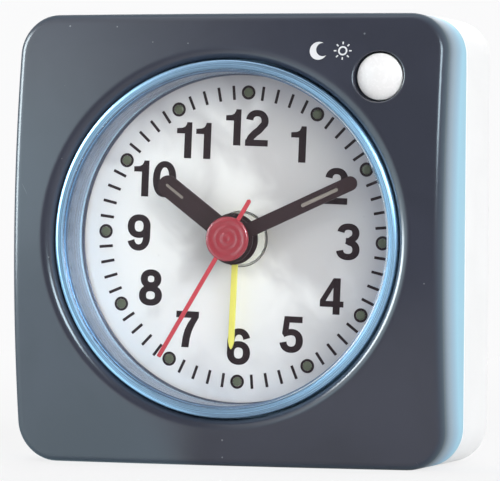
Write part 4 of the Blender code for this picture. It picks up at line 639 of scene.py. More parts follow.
def meshFrom(name, bm, *materials):
    mesh = bpy.data.meshes.new(name)
    bm.to_mesh(mesh)
    bm.free()
    for material in materials:
        mesh.materials.append(material)
    return mesh


def addPiece(name, bm, finish, body, slot, *replaced, even=True):
    bmesh.ops.recalc_face_normals(bm, faces=bm.faces)
    mesh = meshFrom(name, bm, *[paint[key] for key in finish.split()])
    mesh.shade_smooth()
    mesh.set_sharp_from_angle(angle=radians(38))
    piece = addObject(name, mesh)
    if even:
        piece.modifiers.new("evenShading", "WEIGHTED_NORMAL").keep_sharp = True
    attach(piece, body)
    if replaced:
        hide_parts(*replaced)
    return piece


def addLathe(bm, profile, centre, steps=96, closed=False, reach=None):
    # Turns a line of (radius, y) points round an axis along Y at (x, z); reach can ripple the radius
    rings = []
    for radius, y in profile:
        if radius < 1e-7:
            rings.append([bm.verts.new((centre[0], y, centre[1]))])
            continue
        loop = []
        for k in range(steps):
            angle = tau * k / steps
            r = reach(radius, y, angle) if reach else radius
            loop.append(bm.verts.new((centre[0] + r * cos(angle), y, centre[1] + r * sin(angle))))
        rings.append(loop)
    pairs = list(zip(rings, rings[1:])) + ([(rings[-1], rings[0])] if closed else [])
    for first, second in pairs:
        for k in range(steps):
            j = (k + 1) % steps
            if len(first) == 1 and len(second) == 1:
                continue
            if len(first) == 1:
                bm.faces.new((first[0], second[j], second[k]))
            elif len(second) == 1:
                bm.faces.new((first[k], first[j], second[0]))
            else:
                bm.faces.new((first[k], first[j], second[j], second[k]))


def addPlate(bm, loop, front, back, ease=0.00005, holes=()):
    # A flat plate with eased edges, open where the holes are; every loop runs anticlockwise
    edges = [(loop, -ease)] + [(hole, ease) for hole in holes]
    walls = [addWall(bm, (grown(edge, reach), front), (edge, front + ease), (edge, back))
             for edge, reach in edges]
    for rings in zip(*walls):
        fillRings(bm, rings[0], rings[1:])


# Case

def faceDepth(x, z):
    up = (z - case["halfHeight"]) / case["halfHeight"]
    across = x / case["halfWidth"]
    return case["faceY"] - case["bow"] * (1 - up * up) - case["sideBow"] * (1 - across * across)


def caseLoop(inset):
    # The case's rounded square, drawn in by the inset
    halfWidth = case["halfWidth"] - inset
    halfHeight = case["halfHeight"] - inset
    radius = case["cornerRadius"] - inset
    corners = ((1, 1), (-1, 1), (-1, -1), (1, -1))
    steps, sides = case["cornerSteps"], case["sideSteps"]
    points = []
    for quarter, (sideX, sideZ) in enumerate(corners):
        centre = Vector((sideX * (halfWidth - radius), sideZ * (halfHeight - radius)))
        for k in range(steps + 1):
            angle = (quarter + k / steps) * pi / 2
            points.append(centre + Vector((cos(angle), sin(angle))) * radius)
        nextX, nextZ = corners[(quarter + 1) % 4]
        angle = (quarter + 1) * pi / 2
        end = Vector((nextX * (halfWidth - radius), nextZ * (halfHeight - radius)))
        end += Vector((cos(angle), sin(angle))) * radius
        start = points[-1]
        points += [start.lerp(end, k / sides) for k in range(1, sides)]
    return [(point.x, case["halfHeight"] + point.y) for point in points]


def onFace(sink):
    return lambda x, z: faceDepth(x, z) + sink


button = {
    "x": 0.0218, "z": 0.05405, "radius": 0.00325, "sink": 0.0008,
    "hole": 0.0035, "holeEase": 0.00022, "holeSteps": 3, "steps": 64, "sleeveBack": -0.0092,
    "dome": 0.0007, "domeShare": 0.93, "rimDrop": -0.00007, "flangeFront": -0.0089, "flange": 0.0042,
    "flangeBack": -0.0081, "stem": 0.0010, "stemEnd": -0.0060,
}
button["at"] = (button["x"], button["z"])


def makeFrontShell():
    bm = bmesh.new()
    ease, front, wall = case["partingEase"], case["partingFront"], case["frontWall"]
    steps = [(caseLoop(wall), onFace(wall)), (caseLoop(wall), front), (caseLoop(ease), front),
             (caseLoop(0), front - ease)]
    rounded = quarter(case["edgeRound"], case["edgeSteps"])
    steps += [(caseLoop(inset), onFace(sink)) for inset, sink in rounded]
    inner, faceEdge = addWall(bm, *steps, (caseLoop(case["edgeRound"] + case["seam"]), onFace(0.0)))

    def hole(radius, lip, count, points, centre):
        # The steps of a hole's rounded lip, from the face down
        reaches = [(lip + case["seam"], 0.0)] + [(out, sink) for sink, out in quarter(lip, count)]
        return [(circleLoop(radius + reach, points, centre), onFace(sink)) for reach, sink in reaches]

    # Lip round the dial, then its collar
    opening, outside = [circleLoop(case["openingRadius"] + reach, case["circleSteps"], axis)
                        for reach in (0.0, case["collarWall"])]
    steps = hole(case["openingRadius"], case["lipRound"], case["lipSteps"], case["circleSteps"], axis)
    lipEdge, innerLip = addWall(bm, *steps, (opening, case["collarBack"]), (outside, case["collarBack"]),
                                (outside, onFace(wall)))
    # Hole for the button, with an eased edge and its sleeve
    steps = hole(button["hole"], button["holeEase"], button["holeSteps"], button["steps"], button["at"])
    sleeve = circleLoop(button["hole"], button["steps"], button["at"])
    holeEdge, _ = addWall(bm, *steps, (sleeve, button["sleeveBack"]))
    fillRings(bm, faceEdge, [lipEdge, holeEdge], lift=onFace(0.0), spacing=case["faceSpacing"])
    fillRings(bm, inner, [innerLip])
    return addPiece("frontShell", bm, "front", "case", "front_paint", "front_shell")


bay = {"half": 0.0236, "bottom": 0.0029, "top": 0.0141, "corner": 0.0004, "ledge": 0.0009, "front": 0.0001,
       "doorCorner": 0.0012, "doorGap": 0.00025, "recessY": 0.0113,
       "tabHalf": 0.0045, "tabHeight": 0.0022, "tabCorner": 0.0006, "tabRoot": 0.0003}
back = {
    "screws": ((0.0268, 0.0586), (-0.0268, 0.0586), (-0.0268, 0.0176), (0.0268, 0.0176)),
    "screwHole": 0.00175, "screwSeat": 0.0017, "shankHole": 0.0011,
    "stems": ((0.01053, 0.024984142), (0.007453471, 0.039003471)), "stemHole": 0.0013,
    "slotCentre": (-0.0080, 0.0380), "slots": 5, "slotPitch": 0.0024, "slotLength": 0.0110,
    "slotWidth": 0.0011,
    "switch": (0.022265, 0.0265), "switchHalf": 0.00235, "switchReach": 0.00345, "switchCorner": 0.0003,
    "ease": 0.00015,
}


def doorLoop(margin):
    # The battery door's outline with its latch tab; a positive margin draws it in
    half = bay["half"] + bay["ledge"] - margin
    bottom, top = bay["bottom"] - bay["ledge"] + margin, bay["top"] + bay["ledge"] - margin
    tab, tabTop = bay["tabHalf"] - margin, bay["top"] + bay["ledge"] + bay["tabHeight"] - margin
    wide, small, root = bay["doorCorner"], bay["tabCorner"], bay["tabRoot"]
    corners = [(-half, bottom, wide), (half, bottom, wide), (half, top, wide), (tab, top, root),
               (tab, tabTop, small), (-tab, tabTop, small), (-tab, top, root), (-half, top, wide)]
    return filleted(corners, closed=True, steps=6)


def slotLoop(k):
    x, z = back["slotCentre"]
    half, end = back["slotLength"] / 2, back["slotWidth"] / 2
    z += (k - (back["slots"] - 1) / 2) * back["slotPitch"]
    return boxLoop(x - half, x + half, z - end, z + end, end * 0.98, steps=6)


def makeRearShell():
    bm = bmesh.new()
    ease, rear, backY = case["partingEase"], case["partingRear"], case["backY"]
    innerBack = backY - case["rearWall"]
    walls = caseLoop(case["rearWall"])
    steps = [(walls, innerBack), (walls, rear), (caseLoop(ease), rear), (caseLoop(0), rear + ease)]
    rounded = quarter(case["backRound"], case["backSteps"])
    steps += [(caseLoop(inset), backY - sink) for inset, sink in rounded]
    innerEnd, outerEnd = addWall(bm, *steps)
    openings = []

    def opening(loop, *more):
        first, last = addWall(bm, (grown(loop, back["ease"]), backY), (loop, backY - back["ease"]), *more)
        openings.append(first)
        return last

    for place in back["screws"]:
        loop, seat = circleLoop(back["screwHole"], 32, place), back["screwSeat"]
        opening(loop, (loop, seat), (circleLoop(back["shankHole"], 32, place), seat))
    x, z = back["switch"]
    throughs = [circleLoop(back["stemHole"], 24, place) for place in back["stems"]]
    throughs += [slotLoop(k) for k in range(back["slots"])]
    throughs.append(boxLoop(x - back["switchHalf"], x + back["switchHalf"], z - back["switchReach"],
                            z + back["switchReach"], back["switchCorner"]))
    inside = [opening(loop, (loop, innerBack)) for loop in throughs]
    recess = opening(doorLoop(0), (doorLoop(0), bay["recessY"]))
    room = boxLoop(-bay["half"], bay["half"], bay["bottom"], bay["top"], bay["corner"])
    mouth, floor = addWall(bm, (room, bay["recessY"]), (room, bay["front"]))
    fillRings(bm, recess, [mouth])
    fillRings(bm, floor)
    fillRings(bm, outerEnd, openings)
    fillRings(bm, innerEnd, inside)
    return addPiece("rearShell", bm, "white", "case", "white_plastic", "rear_shell")


makeFrontShell()
makeRearShell()
print("case made")


# Ring, lens and dial

def makeRing():
    profile = filleted([
        (ring["ledgeBore"], ring["ledgeY"], 0.00006), (ring["bore"], ring["ledgeY"], 0.0),
        (ring["bore"], ring["rimY"] + ring["crown"] * 0.8, ring["innerRound"]),
        (ring["bore"] * 0.7 + ring["outer"] * 0.3, ring["rimY"] + ring["crown"] * 0.1, 0.0002),
        (ring["bore"] * 0.4 + ring["outer"] * 0.6, ring["rimY"], 0.0002),
        (ring["outer"], ring["rimY"] + ring["crown"] * 0.9, ring["outerRound"]),
        (ring["outer"], ring["flangeY"], 0.0), (ring["flange"], ring["flangeY"], 0.0001),
        (ring["flange"], ring["flangeBack"], 0.0001), (ring["foot"], ring["flangeBack"], 0.0),
        (ring["foot"], ring["footY"], 0.0001), (ring["footLip"], ring["footY"], 0.0001),
        (ring["footLip"], ring["footY"] - ring["footHeight"], 0.00012),
        (ring["ledgeBore"], ring["footY"] - ring["footHeight"], 0.0),
    ], closed=True)
    bm = bmesh.new()
    addLathe(bm, profile, axis, case["circleSteps"], closed=True)
    return addPiece("bezelRing", bm, "ring", "case", "ring_metallic", "bezel_ring")


lens = {"radius": 0.02352, "front": -0.0158, "back": -0.0148, "edge": 0.00004}


def makeLens():
    bm = bmesh.new()
    profile = filleted([(0.0, lens["front"], 0.0), (lens["radius"], lens["front"], lens["edge"]),
                        (lens["radius"], lens["back"], lens["edge"]), (0.0, lens["back"], 0.0)])
    addLathe(bm, profile, axis, case["circleSteps"])
    piece = addPiece("lensWindow", bm, "lens", "case", "clear_plastic", "lens")
    piece.visible_shadow = piece.visible_diffuse = False
    return piece


def makeDial():
    bm = bmesh.new()
    edge, hole = circleLoop(dial["radius"], case["circleSteps"], axis), circleLoop(dial["hole"], 72, axis)
    addPlate(bm, edge, dial["y"], dial["y"] + dial["thickness"], dial["edge"], [hole])
    return addPiece("dialPlate", bm, "dial", "case", "dial_silver", "dial")


marks = {
    "ticksFrom": 0.0193, "ticksTo": 0.0213, "tickWidth": 0.00040, "tickRound": 0.00006, "dotRadius": 0.0203,
    "dotOuter": 0.00100, "dotInner": 0.00066, "inkHeight": 0.00003, "inkRoot": 0.00001, "inkEase": 0.00001,
    "holeLine": (0.00011, 0.00002), "numeralRadius": 0.01536, "numeralHeight": 0.00508, "numeralGap": 0.00062,
    "oneWidth": 0.437, "oneShift": 0.0001, "layer": 0.000002,   # strokes that cross stand this far apart
    # The filling of a dot: shares of its radius, and y from the dial
    "dotProfile": ((0.0, -0.00009), (0.6, -0.00008), (0.9, -0.00005), (1.0, 0.00001)),
}
marks["front"], marks["rear"] = dial["y"] - marks["inkHeight"], dial["y"] + marks["inkRoot"]


def onDial(clockAngle, radius):
    # A place on the dial, by its clock angle in degrees
    angle = radians(clockAngle + dial["turn"])
    shiftX, shiftZ = dial["printShift"]
    return (shiftX + radius * sin(angle), case["axisZ"] + shiftZ + radius * cos(angle))


def makeDialMarks():
    bm = bmesh.new()

    def stamp(loop, *holes):
        addPlate(bm, loop, marks["front"], marks["rear"], marks["inkEase"], holes)

    middle = Vector(dial["printShift"]) + Vector(axis)
    half = marks["tickWidth"] / 2
    for minute in range(60):
        if minute % 5:
            angle = radians(minute * 6 + dial["turn"])
            along, side = Vector((sin(angle), cos(angle))), Vector((cos(angle), -sin(angle))) * half
            start, end = [middle + along * marks[key] for key in ("ticksFrom", "ticksTo")]
            corners = (start + side, end + side, end - side, start - side)
            stamp(filleted([(p.x, p.y, marks["tickRound"]) for p in corners], closed=True, steps=2))
    for hour in range(12):
        place = onDial(hour * 30, marks["dotRadius"])
        stamp(circleLoop(marks["dotOuter"], 40, place), circleLoop(marks["dotInner"], 40, place))
    stamp(*[circleLoop(dial["hole"] + reach, 72, axis) for reach in marks["holeLine"]])
    return addPiece("dialMarks", bm, "print", "case", "hand_dark", even=False)


def makeDots():
    bm = bmesh.new()
    for hour in range(12):
        profile = [(marks["dotInner"] * share, dial["y"] + y) for share, y in marks["dotProfile"]]
        addLathe(bm, profile, onDial(hour * 30, marks["dotRadius"]), 36)
    return addPiece("hourDots", bm, "dotFill", "case", "dial_silver", even=False)


# Numerals: strokes on a grid one high; a stroke is a line of (x, y, width), a shape a closed outline
numeralWidth = 0.68


oval = {"sideWidth": 0.206, "topWidth": 0.175, "power": 2.25}


def arc(x, y, rx, ry, start, end, steps):
    # Part of an upright oval; its stroke is thinner where it runs level
    line = []
    power, wide, narrow = oval["power"], oval["sideWidth"], oval["topWidth"]
    for k in range(steps + 1):
        angle = radians(start + (end - start) * k / steps)
        c, s = cos(angle), sin(angle)
        reach = (abs(c) ** power + abs(s) ** power) ** (-1 / power)
        line.append((x + rx * reach * c, y + ry * reach * s, wide + (narrow - wide) * s * s))
    return line


strokes = {
    "0": [arc(0.34, 0.5, 0.237, 0.415, 0, 360, steps=40)],
    "2": [arc(0.345, 0.69, 0.222, 0.222, 172, -18, steps=18) + [(0.50, 0.555, 0.2), (0.40, 0.44, 0.2),
          (0.28, 0.345, 0.2), (0.175, 0.235, 0.2), (0.125, 0.12, 0.2), (0.118, 0.06, 0.2)],
          [(0.015, 0.088, 0.176), (0.67, 0.088, 0.176)]],
    "3": [arc(0.335, 0.735, 0.212, 0.18, 172, -62, steps=18) + [(0.36, 0.535, 0.15), (0.27, 0.528, 0.15)],
          [(0.27, 0.515, 0.14)] + arc(0.335, 0.283, 0.232, 0.20, 78, -172, steps=22)],
    "5": [[(0.12, 0.914, 0.172), (0.64, 0.914, 0.172)], [(0.205, 0.97, 0.17), (0.15, 0.50, 0.17)],
          [(0.10, 0.475, 0.13), (0.17, 0.52, 0.15)] + arc(0.335, 0.325, 0.235, 0.242, 112, -170, steps=22)],
    "6": [arc(0.345, 0.322, 0.232, 0.24, 0, 360, steps=34),
          [(0.115, 0.34, 0.205), (0.116, 0.50, 0.205)] + arc(0.348, 0.60, 0.233, 0.315, 172, 22, steps=16)],
    "8": [arc(0.34, 0.738, 0.198, 0.178, 0, 360, steps=32), arc(0.34, 0.283, 0.233, 0.20, 0, 360, steps=34)],
}
shapes = {
    "1": [[(0.228, 0.0), (0.437, 0.0), (0.437, 1.0), (0.292, 1.0), (0.276, 0.94), (0.235, 0.875),
           (0.16, 0.84), (0.0, 0.826), (0.0, 0.684), (0.228, 0.684)]],
    "4": [[(0.378, 0.0), (0.578, 0.0), (0.578, 0.205), (0.68, 0.205), (0.68, 0.368), (0.578, 0.368),
           (0.578, 1.0), (0.375, 1.0), (0.005, 0.385), (0.005, 0.205), (0.378, 0.205)],
          [(0.168, 0.368), (0.378, 0.368), (0.378, 0.735)]],
    "7": [[(0.015, 1.0), (0.015, 0.82), (0.455, 0.82), (0.355, 0.665), (0.275, 0.49), (0.225, 0.30),
           (0.19, 0.0), (0.402, 0.0), (0.43, 0.255), (0.482, 0.46), (0.565, 0.65), (0.67, 0.84), (0.67, 1.0)]],
}


def addStroke(bm, line, place, front, rear):
    # A ribbon of the line's widths, with square ends
    closed = hypot(line[0][0] - line[-1][0], line[0][1] - line[-1][1]) < 1e-6
    line = line[:-1] if closed else line
    count = len(line)
    sides = ([], [])
    for k, (x, y, width) in enumerate(line):
        before = line[k - 1] if k or closed else line[0]
        after = line[(k + 1) % count] if k < count - 1 or closed else line[-1]
        along = Vector((after[0] - before[0], after[1] - before[1])).normalized()
        for side, out in zip(sides, (1, -1)):
            side.append((x - along.y * out * width / 2, y + along.x * out * width / 2))
    top, root = [[[bm.verts.new(place(u, v, y)) for u, v in side] for side in sides] for y in (front, rear)]
    for k in range(count if closed else count - 1):
        j = (k + 1) % count
        bm.faces.new((top[0][k], top[0][j], top[1][j], top[1][k]))
        for side in (0, 1):
            bm.faces.new((top[side][k], top[side][j], root[side][j], root[side][k]))
    if not closed:
        for k in (0, count - 1):
            bm.faces.new((top[0][k], top[1][k], root[1][k], root[0][k]))


def makeNumerals():
    bm = bmesh.new()
    size = marks["numeralHeight"]
    lean = radians(-dial["turn"])
    for hour in range(1, 13):
        middle = onDial(hour * 30, marks["numeralRadius"])
        digits = str(hour)
        widths = [marks["oneWidth"] if digit == "1" else numeralWidth for digit in digits]
        start = -(sum(widths) * size + marks["numeralGap"] * (len(digits) - 1)) / 2
        if hour in (1, 11):
            start -= marks["oneShift"]
        for digit, width in zip(digits, widths):

            def place(u, v, y, start=start, digit=digit):
                if digit == "9":   # a 6 upside down
                    u, v = numeralWidth - u, 1 - v
                across, up = start + u * size, (v - 0.5) * size
                x = middle[0] + across * cos(lean) - up * sin(lean)
                z = middle[1] + across * sin(lean) + up * cos(lean)
                return (x, y, z)

            for k, line in enumerate(strokes.get("6" if digit == "9" else digit, ())):
                addStroke(bm, line, place, marks["front"] - marks["layer"] * k, marks["rear"])
            flat = [[place(u, v, 0)[::2] for u, v in outline] for outline in shapes.get(digit, ())]
            if flat:
                addPlate(bm, flat[0], marks["front"], marks["rear"], 0.0, flat[1:])
            start += width * size + marks["numeralGap"]
    bmesh.ops.remove_doubles(bm, verts=bm.verts, dist=1e-9)
    return addPiece("dialNumerals", bm, "print", "case", "hand_dark", even=False)


makeRing()
makeLens()
makeDial()
makeDialMarks()
makeDots()
makeNumerals()
print("ring, lens and dial made")


# Hands: height of the front above the dial, lengths from the axis

hands = {
    "thickness": 0.00035, "edge": 0.00006,
    "alarm": {"angle": 180.5, "height": 0.0024, "length": 0.01545, "width": 0.00085, "hub": 0.0030,
              "bore": 0.0023},
    "hour": {"angle": 305.5, "height": 0.0038, "length": 0.01355, "width": 0.0030, "hub": 0.0036,
             "bore": 0.00175, "slot": (0.00925, 0.01245), "slotWidth": 0.00042},
    "minute": {"angle": 63.75, "height": 0.00515, "length": 0.01995, "width": 0.0020, "hub": 0.0033,
               "bore": 0.0012, "slot": (0.01125, 0.01705), "slotWidth": 0.00056},
    "second": {"angle": 209.0, "height": 0.0067, "length": 0.01925, "width": 0.0006, "hub": 0.0031,
               "tail": 0.0062, "sink": 0.00010, "edge": 0.00008},
    "lumeSink": 0.00008, "lumeGap": 0.00002, "lumeEdge": 0.00004,
    "collarWall": 0.0003, "collarFrom": -0.00002, "collarTo": 0.00045,   # behind the hand's back
    # The cap: shallow turned rings round a small dimple, as radius and depth
    "capMiddle": ((0.0, 0.00008), (0.0003, 0.00005), (0.0006, 0.00002), (0.0009, 0.00008), (0.00115, 0.00013),
                  (0.0014, 0.00003), (0.0017, 0.00003), (0.0020, 0.00011), (0.0023, 0.00004), (0.0026, 0.0)),
    # Its rim, by how far in from the hub's radius, and the tube behind it
    "capRim": ((0.00022, 0.00002), (0.00008, 0.00009), (0.0, 0.00022), (0.0, 0.00034), (0.0002, 0.00036),
               (0.0002, 0.0007)),
    "capTube": ((0.00095, 0.0007), (0.00095, 0.00122), (0.00065, 0.00122)),
}


def swung(loop, clockAngle):
    angle = pi / 2 - radians(clockAngle + dial["turn"])
    return [(u * cos(angle) - v * sin(angle), case["axisZ"] + u * sin(angle) + v * cos(angle))
            for u, v in loop]


def handLoop(hand, tip):
    # One bar with a hub round the axis, drawn along +X; the hub flows into the bar
    width, hub, length = hand["width"], hand["hub"], hand["length"]
    half = width / 2
    side = asin(half / hub)

    def hubArc(start, end, count):
        return [(hub * cos(angle), hub * sin(angle)) for angle in np.linspace(start, end, count)]

    if tip == "square":
        loop = [(length - half * 0.3, -half), (length, -half * 0.7), (length, half * 0.7),
                (length - half * 0.3, half)]
    elif tip == "point":
        loop = [(length - width * 1.3, -half), (length - width * 0.4, -half * 0.55), (length, 0.0),
                (length - width * 0.4, half * 0.55), (length - width * 1.3, half)]
    else:
        turns = [pi * (k / 14 - 0.5) for k in range(15)]
        loop = [(length - half + half * cos(angle), half * sin(angle)) for angle in turns]
    if "tail" not in hand:
        return loop + hubArc(side, tau - side, 56)
    tail = [(-hand["tail"], half), (-hand["tail"] - half * 0.7, 0.0), (-hand["tail"], -half)]
    return loop + hubArc(side, pi - side, 26) + tail + hubArc(pi + side, tau - side, 26)


def makeHand(key, name, body, finish, slot, tip="round"):
    hand = hands[key]
    front = dial["y"] - hand["height"]
    rear = front + hands["thickness"]
    bm = bmesh.new()
    holes = []
    if "slot" in hand:
        half = hand["slotWidth"] / 2
        stripe = boxLoop(*hand["slot"], -half, half, half * 0.96, steps=8)
        holes.append(swung(stripe, hand["angle"]))
        lume = bmesh.new()
        addPlate(lume, swung(grown(stripe, -hands["lumeGap"]), hand["angle"]), front + hands["lumeSink"],
                 rear - hands["lumeGap"], hands["lumeEdge"])
        addPiece(name + "Lume", lume, "lume", body, "natural_plastic", even=False)
    holes.append(swung(circleLoop(hand["bore"], 32), 0))
    addPlate(bm, swung(handLoop(hand, tip), hand["angle"]), front, rear, hands["edge"], holes)
    inner, outer = hand["bore"], hand["bore"] + hands["collarWall"]
    start, end = rear + hands["collarFrom"], rear + hands["collarTo"]
    addLathe(bm, [(inner, start), (outer, start), (outer, end), (inner, end)], axis, 48, closed=True)
    return addPiece(name, bm, finish, body, slot, key + "_hand")


def makeSecondHand():
    hand = hands["second"]
    front, hub = dial["y"] - hand["height"], hand["hub"]
    bm = bmesh.new()
    bar = swung(handLoop(hand, "square"), hand["angle"])
    addPlate(bm, bar, front + hand["sink"], front + hands["thickness"], hand["edge"])
    rim = [(hub - inwards, depth) for inwards, depth in hands["capRim"]]
    profile = [*hands["capMiddle"], *rim, *hands["capTube"]]
    addLathe(bm, [(radius, front + depth) for radius, depth in profile], axis, 96)
    for face in bm.faces:
        middle = face.calc_center_median()
        face.material_index = int(hypot(middle.x, middle.z - case["axisZ"]) < hub)
    return addPiece("secondHand", bm, "red cap", "seconds", "hand_red", "second_hand")


makeHand("alarm", "alarmHand", "alarm", "yellow", "hand_yellow", tip="point")
makeHand("hour", "hourHand", "hours", "dark", "hand_dark")
makeHand("minute", "minuteHand", "minutes", "dark", "hand_dark")
makeSecondHand()
print("hands made")


# Snooze button

def makeButton():
    edge = faceDepth(*button["at"]) + button["sink"]
    radius, share = button["radius"], button["domeShare"]
    profile = []
    for k in range(9):
        out = k / 8 * share
        profile.append((radius * out, edge - button["dome"] * (1 - out ** 2)))
    for k in range(1, 6):
        angle = k / 5 * pi / 2
        profile.append((radius * (share + (1 - share) * sin(angle)),
                        edge + radius * (1 - share) * (1 - cos(angle)) + button["rimDrop"]))
    profile += [(radius, button["flangeFront"]), (button["flange"], button["flangeFront"]),
                (button["flange"], button["flangeBack"]), (button["stem"], button["flangeBack"]),
                (button["stem"], button["stemEnd"]), (0.0, button["stemEnd"])]
    bm = bmesh.new()
    addLathe(bm, profile, button["at"], 96)
    return addPiece("snoozeButton", bm, "button", "snooze", "white_plastic", "snooze_button")


# Coil behind the button; the real one shortens as the button goes in
coil = {"radius": 0.0019, "wire": 0.0002, "turns": 4, "front": -0.0076, "rear": -0.0040, "steps": 96,
        "sides": 10, "keep": 0.7}


def makeCoil():
    bm = bmesh.new()
    rings = []
    for k in range(coil["steps"] + 1):
        share = k / coil["steps"]
        angle = tau * coil["turns"] * share
        middle = (coil["radius"], coil["front"] + (coil["rear"] - coil["front"]) * share)
        rings.append([bm.verts.new((button["x"] + reach * cos(angle), y, button["z"] + reach * sin(angle)))
                      for reach, y in circleLoop(coil["wire"], coil["sides"], middle)])
    bm.faces.new(rings[0])
    for first, second in zip(rings, rings[1:]):
        bridge(bm, first, second)
    bm.faces.new(rings[-1][::-1])
    piece = addPiece("snoozeSpring", bm, "spring", "case", "spring_steel", "snooze_spring")
    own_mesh(piece)
    return piece


# Two small signs printed beside the button: a crescent moon and a lamp
signs = {
    "moon": (0.01325, 0.0576), "lamp": (0.01665, 0.0576), "size": 0.00125, "ink": 0.00002, "root": 0.00001,
    # Shares of the size: the middle of the moon's inner curve, the lamp's ring, its rays and their half width
    "bite": (0.45, 0.18), "ring": (0.52, 0.34), "rays": (0.72, 1.0), "rayHalf": 0.075,
}


def makeSigns():
    bm = bmesh.new()

    def stamp(loop, *holes):
        front, root = onFace(-signs["ink"]), onFace(signs["root"])
        walls = [addWall(bm, (edge, front), (edge, root)) for edge in (loop, *holes)]
        fillRings(bm, walls[0][0], [first for first, _ in walls[1:]])

    size = signs["size"]
    x, z = signs["moon"]
    crescent = [(x + size * cos(angle), z + size * sin(angle))
                for angle in np.linspace(radians(60), radians(330), 30)]
    x, z = x + size * signs["bite"][0], z + size * signs["bite"][1]
    tips = [(u - x, v - z) for u, v in (crescent[-1], crescent[0])]
    (start, reach), (end, lastReach) = [(atan2(v, u) % tau, hypot(u, v)) for u, v in tips]
    for share in np.linspace(0, 1, 22)[1:-1]:
        angle, far = start + (end - start) * share, reach + (lastReach - reach) * share
        crescent.append((x + far * cos(angle), z + far * sin(angle)))
    stamp(crescent)
    stamp(*[circleLoop(size * share, 32, signs["lamp"]) for share in signs["ring"]])
    for k in range(8):
        angle = tau * k / 8
        along = Vector((cos(angle), sin(angle)))
        side = Vector((-along.y, along.x)) * size * signs["rayHalf"]
        near, far = [Vector(signs["lamp"]) + along * size * share for share in signs["rays"]]
        stamp([tuple(near - side), tuple(far - side), tuple(far + side), tuple(near + side)])
    return addPiece("buttonSigns", bm, "faceInk", "case", "white_plastic", even=False)


makeButton()
makeCoil()
makeSigns()
print("button made")


# Back: knobs, switch, door, screws and the cell

knobs = {
    "back": 0.0134, "height": 0.0023, "bore": 0.0013, "ribs": 28, "ribDepth": 0.00028, "ribFrom": 0.0006,
    "edge": 0.00035, "dish": 0.00035, "rim": (0.0010, 0.0014),   # the dish starts and is down this far in
    "barShare": 0.62, "barHalf": 0.00045, "barCorner": 0.0004, "barEase": 0.00012,
    "barSink": 0.00002, "barRoot": 0.00005,                      # under the rim, and under the dish
    "time": {"radius": 0.0048, "at": back["stems"][0]}, "alarm": {"radius": 0.0042, "at": back["stems"][1]},
}


def makeKnob(key, name, body):
    knob = knobs[key]
    radius, start = knob["radius"], knobs["back"]
    end = start + knobs["height"]
    dish = end - knobs["dish"]

    def ripple(reach, y, angle):
        if reach < radius - knobs["ribFrom"]:
            return reach
        wave = 0.5 + 0.5 * cos(angle * knobs["ribs"])
        return reach - knobs["ribDepth"] * (1 - wave) ** 0.6

    profile = filleted([(knobs["bore"], start, 0.0), (radius, start, 0.0001), (radius, end, knobs["edge"]),
                        (radius - knobs["rim"][0], end, 0.0002), (radius - knobs["rim"][1], dish, 0.0003),
                        (0.0, dish, 0.0)])
    bm = bmesh.new()
    addLathe(bm, profile, knob["at"], 224, reach=ripple)
    # A raised bar across the dish to turn it by
    x, z = knob["at"]
    reach, half = radius * knobs["barShare"], knobs["barHalf"]
    bar = boxLoop(x - reach, x + reach, z - half, z + half, knobs["barCorner"])
    top, ease = end - knobs["barSink"], knobs["barEase"]
    _, last = addWall(bm, (bar, dish - knobs["barRoot"]), (bar, top - ease), (grown(bar, -ease), top))
    fillRings(bm, last)
    return addPiece(name, bm, "grey", body, "grey_plastic", key + "_set_knob")


slider = {
    "x": 0.022265, "z": 0.0250, "half": 0.0021, "reach": 0.0017, "corner": 0.00035, "top": 0.0141,
    "plateHalf": 0.0037, "plateReach": 0.0033, "plate": (0.0099, 0.0109), "plateCorner": 0.0005,
    "plateEdge": 0.00008,
    # The thumb piece: how far out and how far below its top, then its ridges
    "levels": ((0.0, 0.0033), (0.0, 0.00035), (-0.00018, 0.0003)),
    "ridges": 5, "ridgeInset": 0.0003, "ridgeShare": 0.27, "ridgeCorner": 0.0001, "ridgeRoot": 0.00031,
    "ridgeEase": 0.00006,
}


def makeSwitch():
    bm = bmesh.new()
    x, z = slider["x"], slider["z"]

    def box(half, low, high, corner, steps=5):
        return boxLoop(x - half, x + half, low, high, corner, steps)

    reach = slider["plateReach"]
    addPlate(bm, box(slider["plateHalf"], z - reach, z + reach, slider["plateCorner"]), *slider["plate"],
             slider["plateEdge"])
    thumb = box(slider["half"], z - slider["reach"], z + slider["reach"], slider["corner"])
    _, last = addWall(bm, *[(grown(thumb, out), slider["top"] - down) for out, down in slider["levels"]])
    fillRings(bm, last)
    inset = slider["ridgeInset"]
    pitch = (slider["reach"] - inset) * 2 / slider["ridges"]
    for k in range(slider["ridges"]):
        level = z - slider["reach"] + inset + pitch * (k + 0.5)
        half = pitch * slider["ridgeShare"]
        ridge = box(slider["half"] - inset, level - half, level + half, slider["ridgeCorner"], 3)
        _, last = addWall(bm, (ridge, slider["top"] - slider["ridgeRoot"]),
                          (grown(ridge, -slider["ridgeEase"]), slider["top"]))
        fillRings(bm, last)
    return addPiece("alarmSlider", bm, "grey", "switch", "grey_plastic", "alarm_switch")


# The grip grooves start this far under the bay's top and are drawn in towards their floors
door = {"front": 0.0116, "back": 0.0131, "grooves": 4, "grooveFrom": 0.0022, "groovePitch": 0.0009,
        "grooveHalf": 0.0031, "grooveReach": 0.00022, "grooveCorner": 0.0002, "grooveEase": 0.00009,
        "grooveDepth": 0.0003}


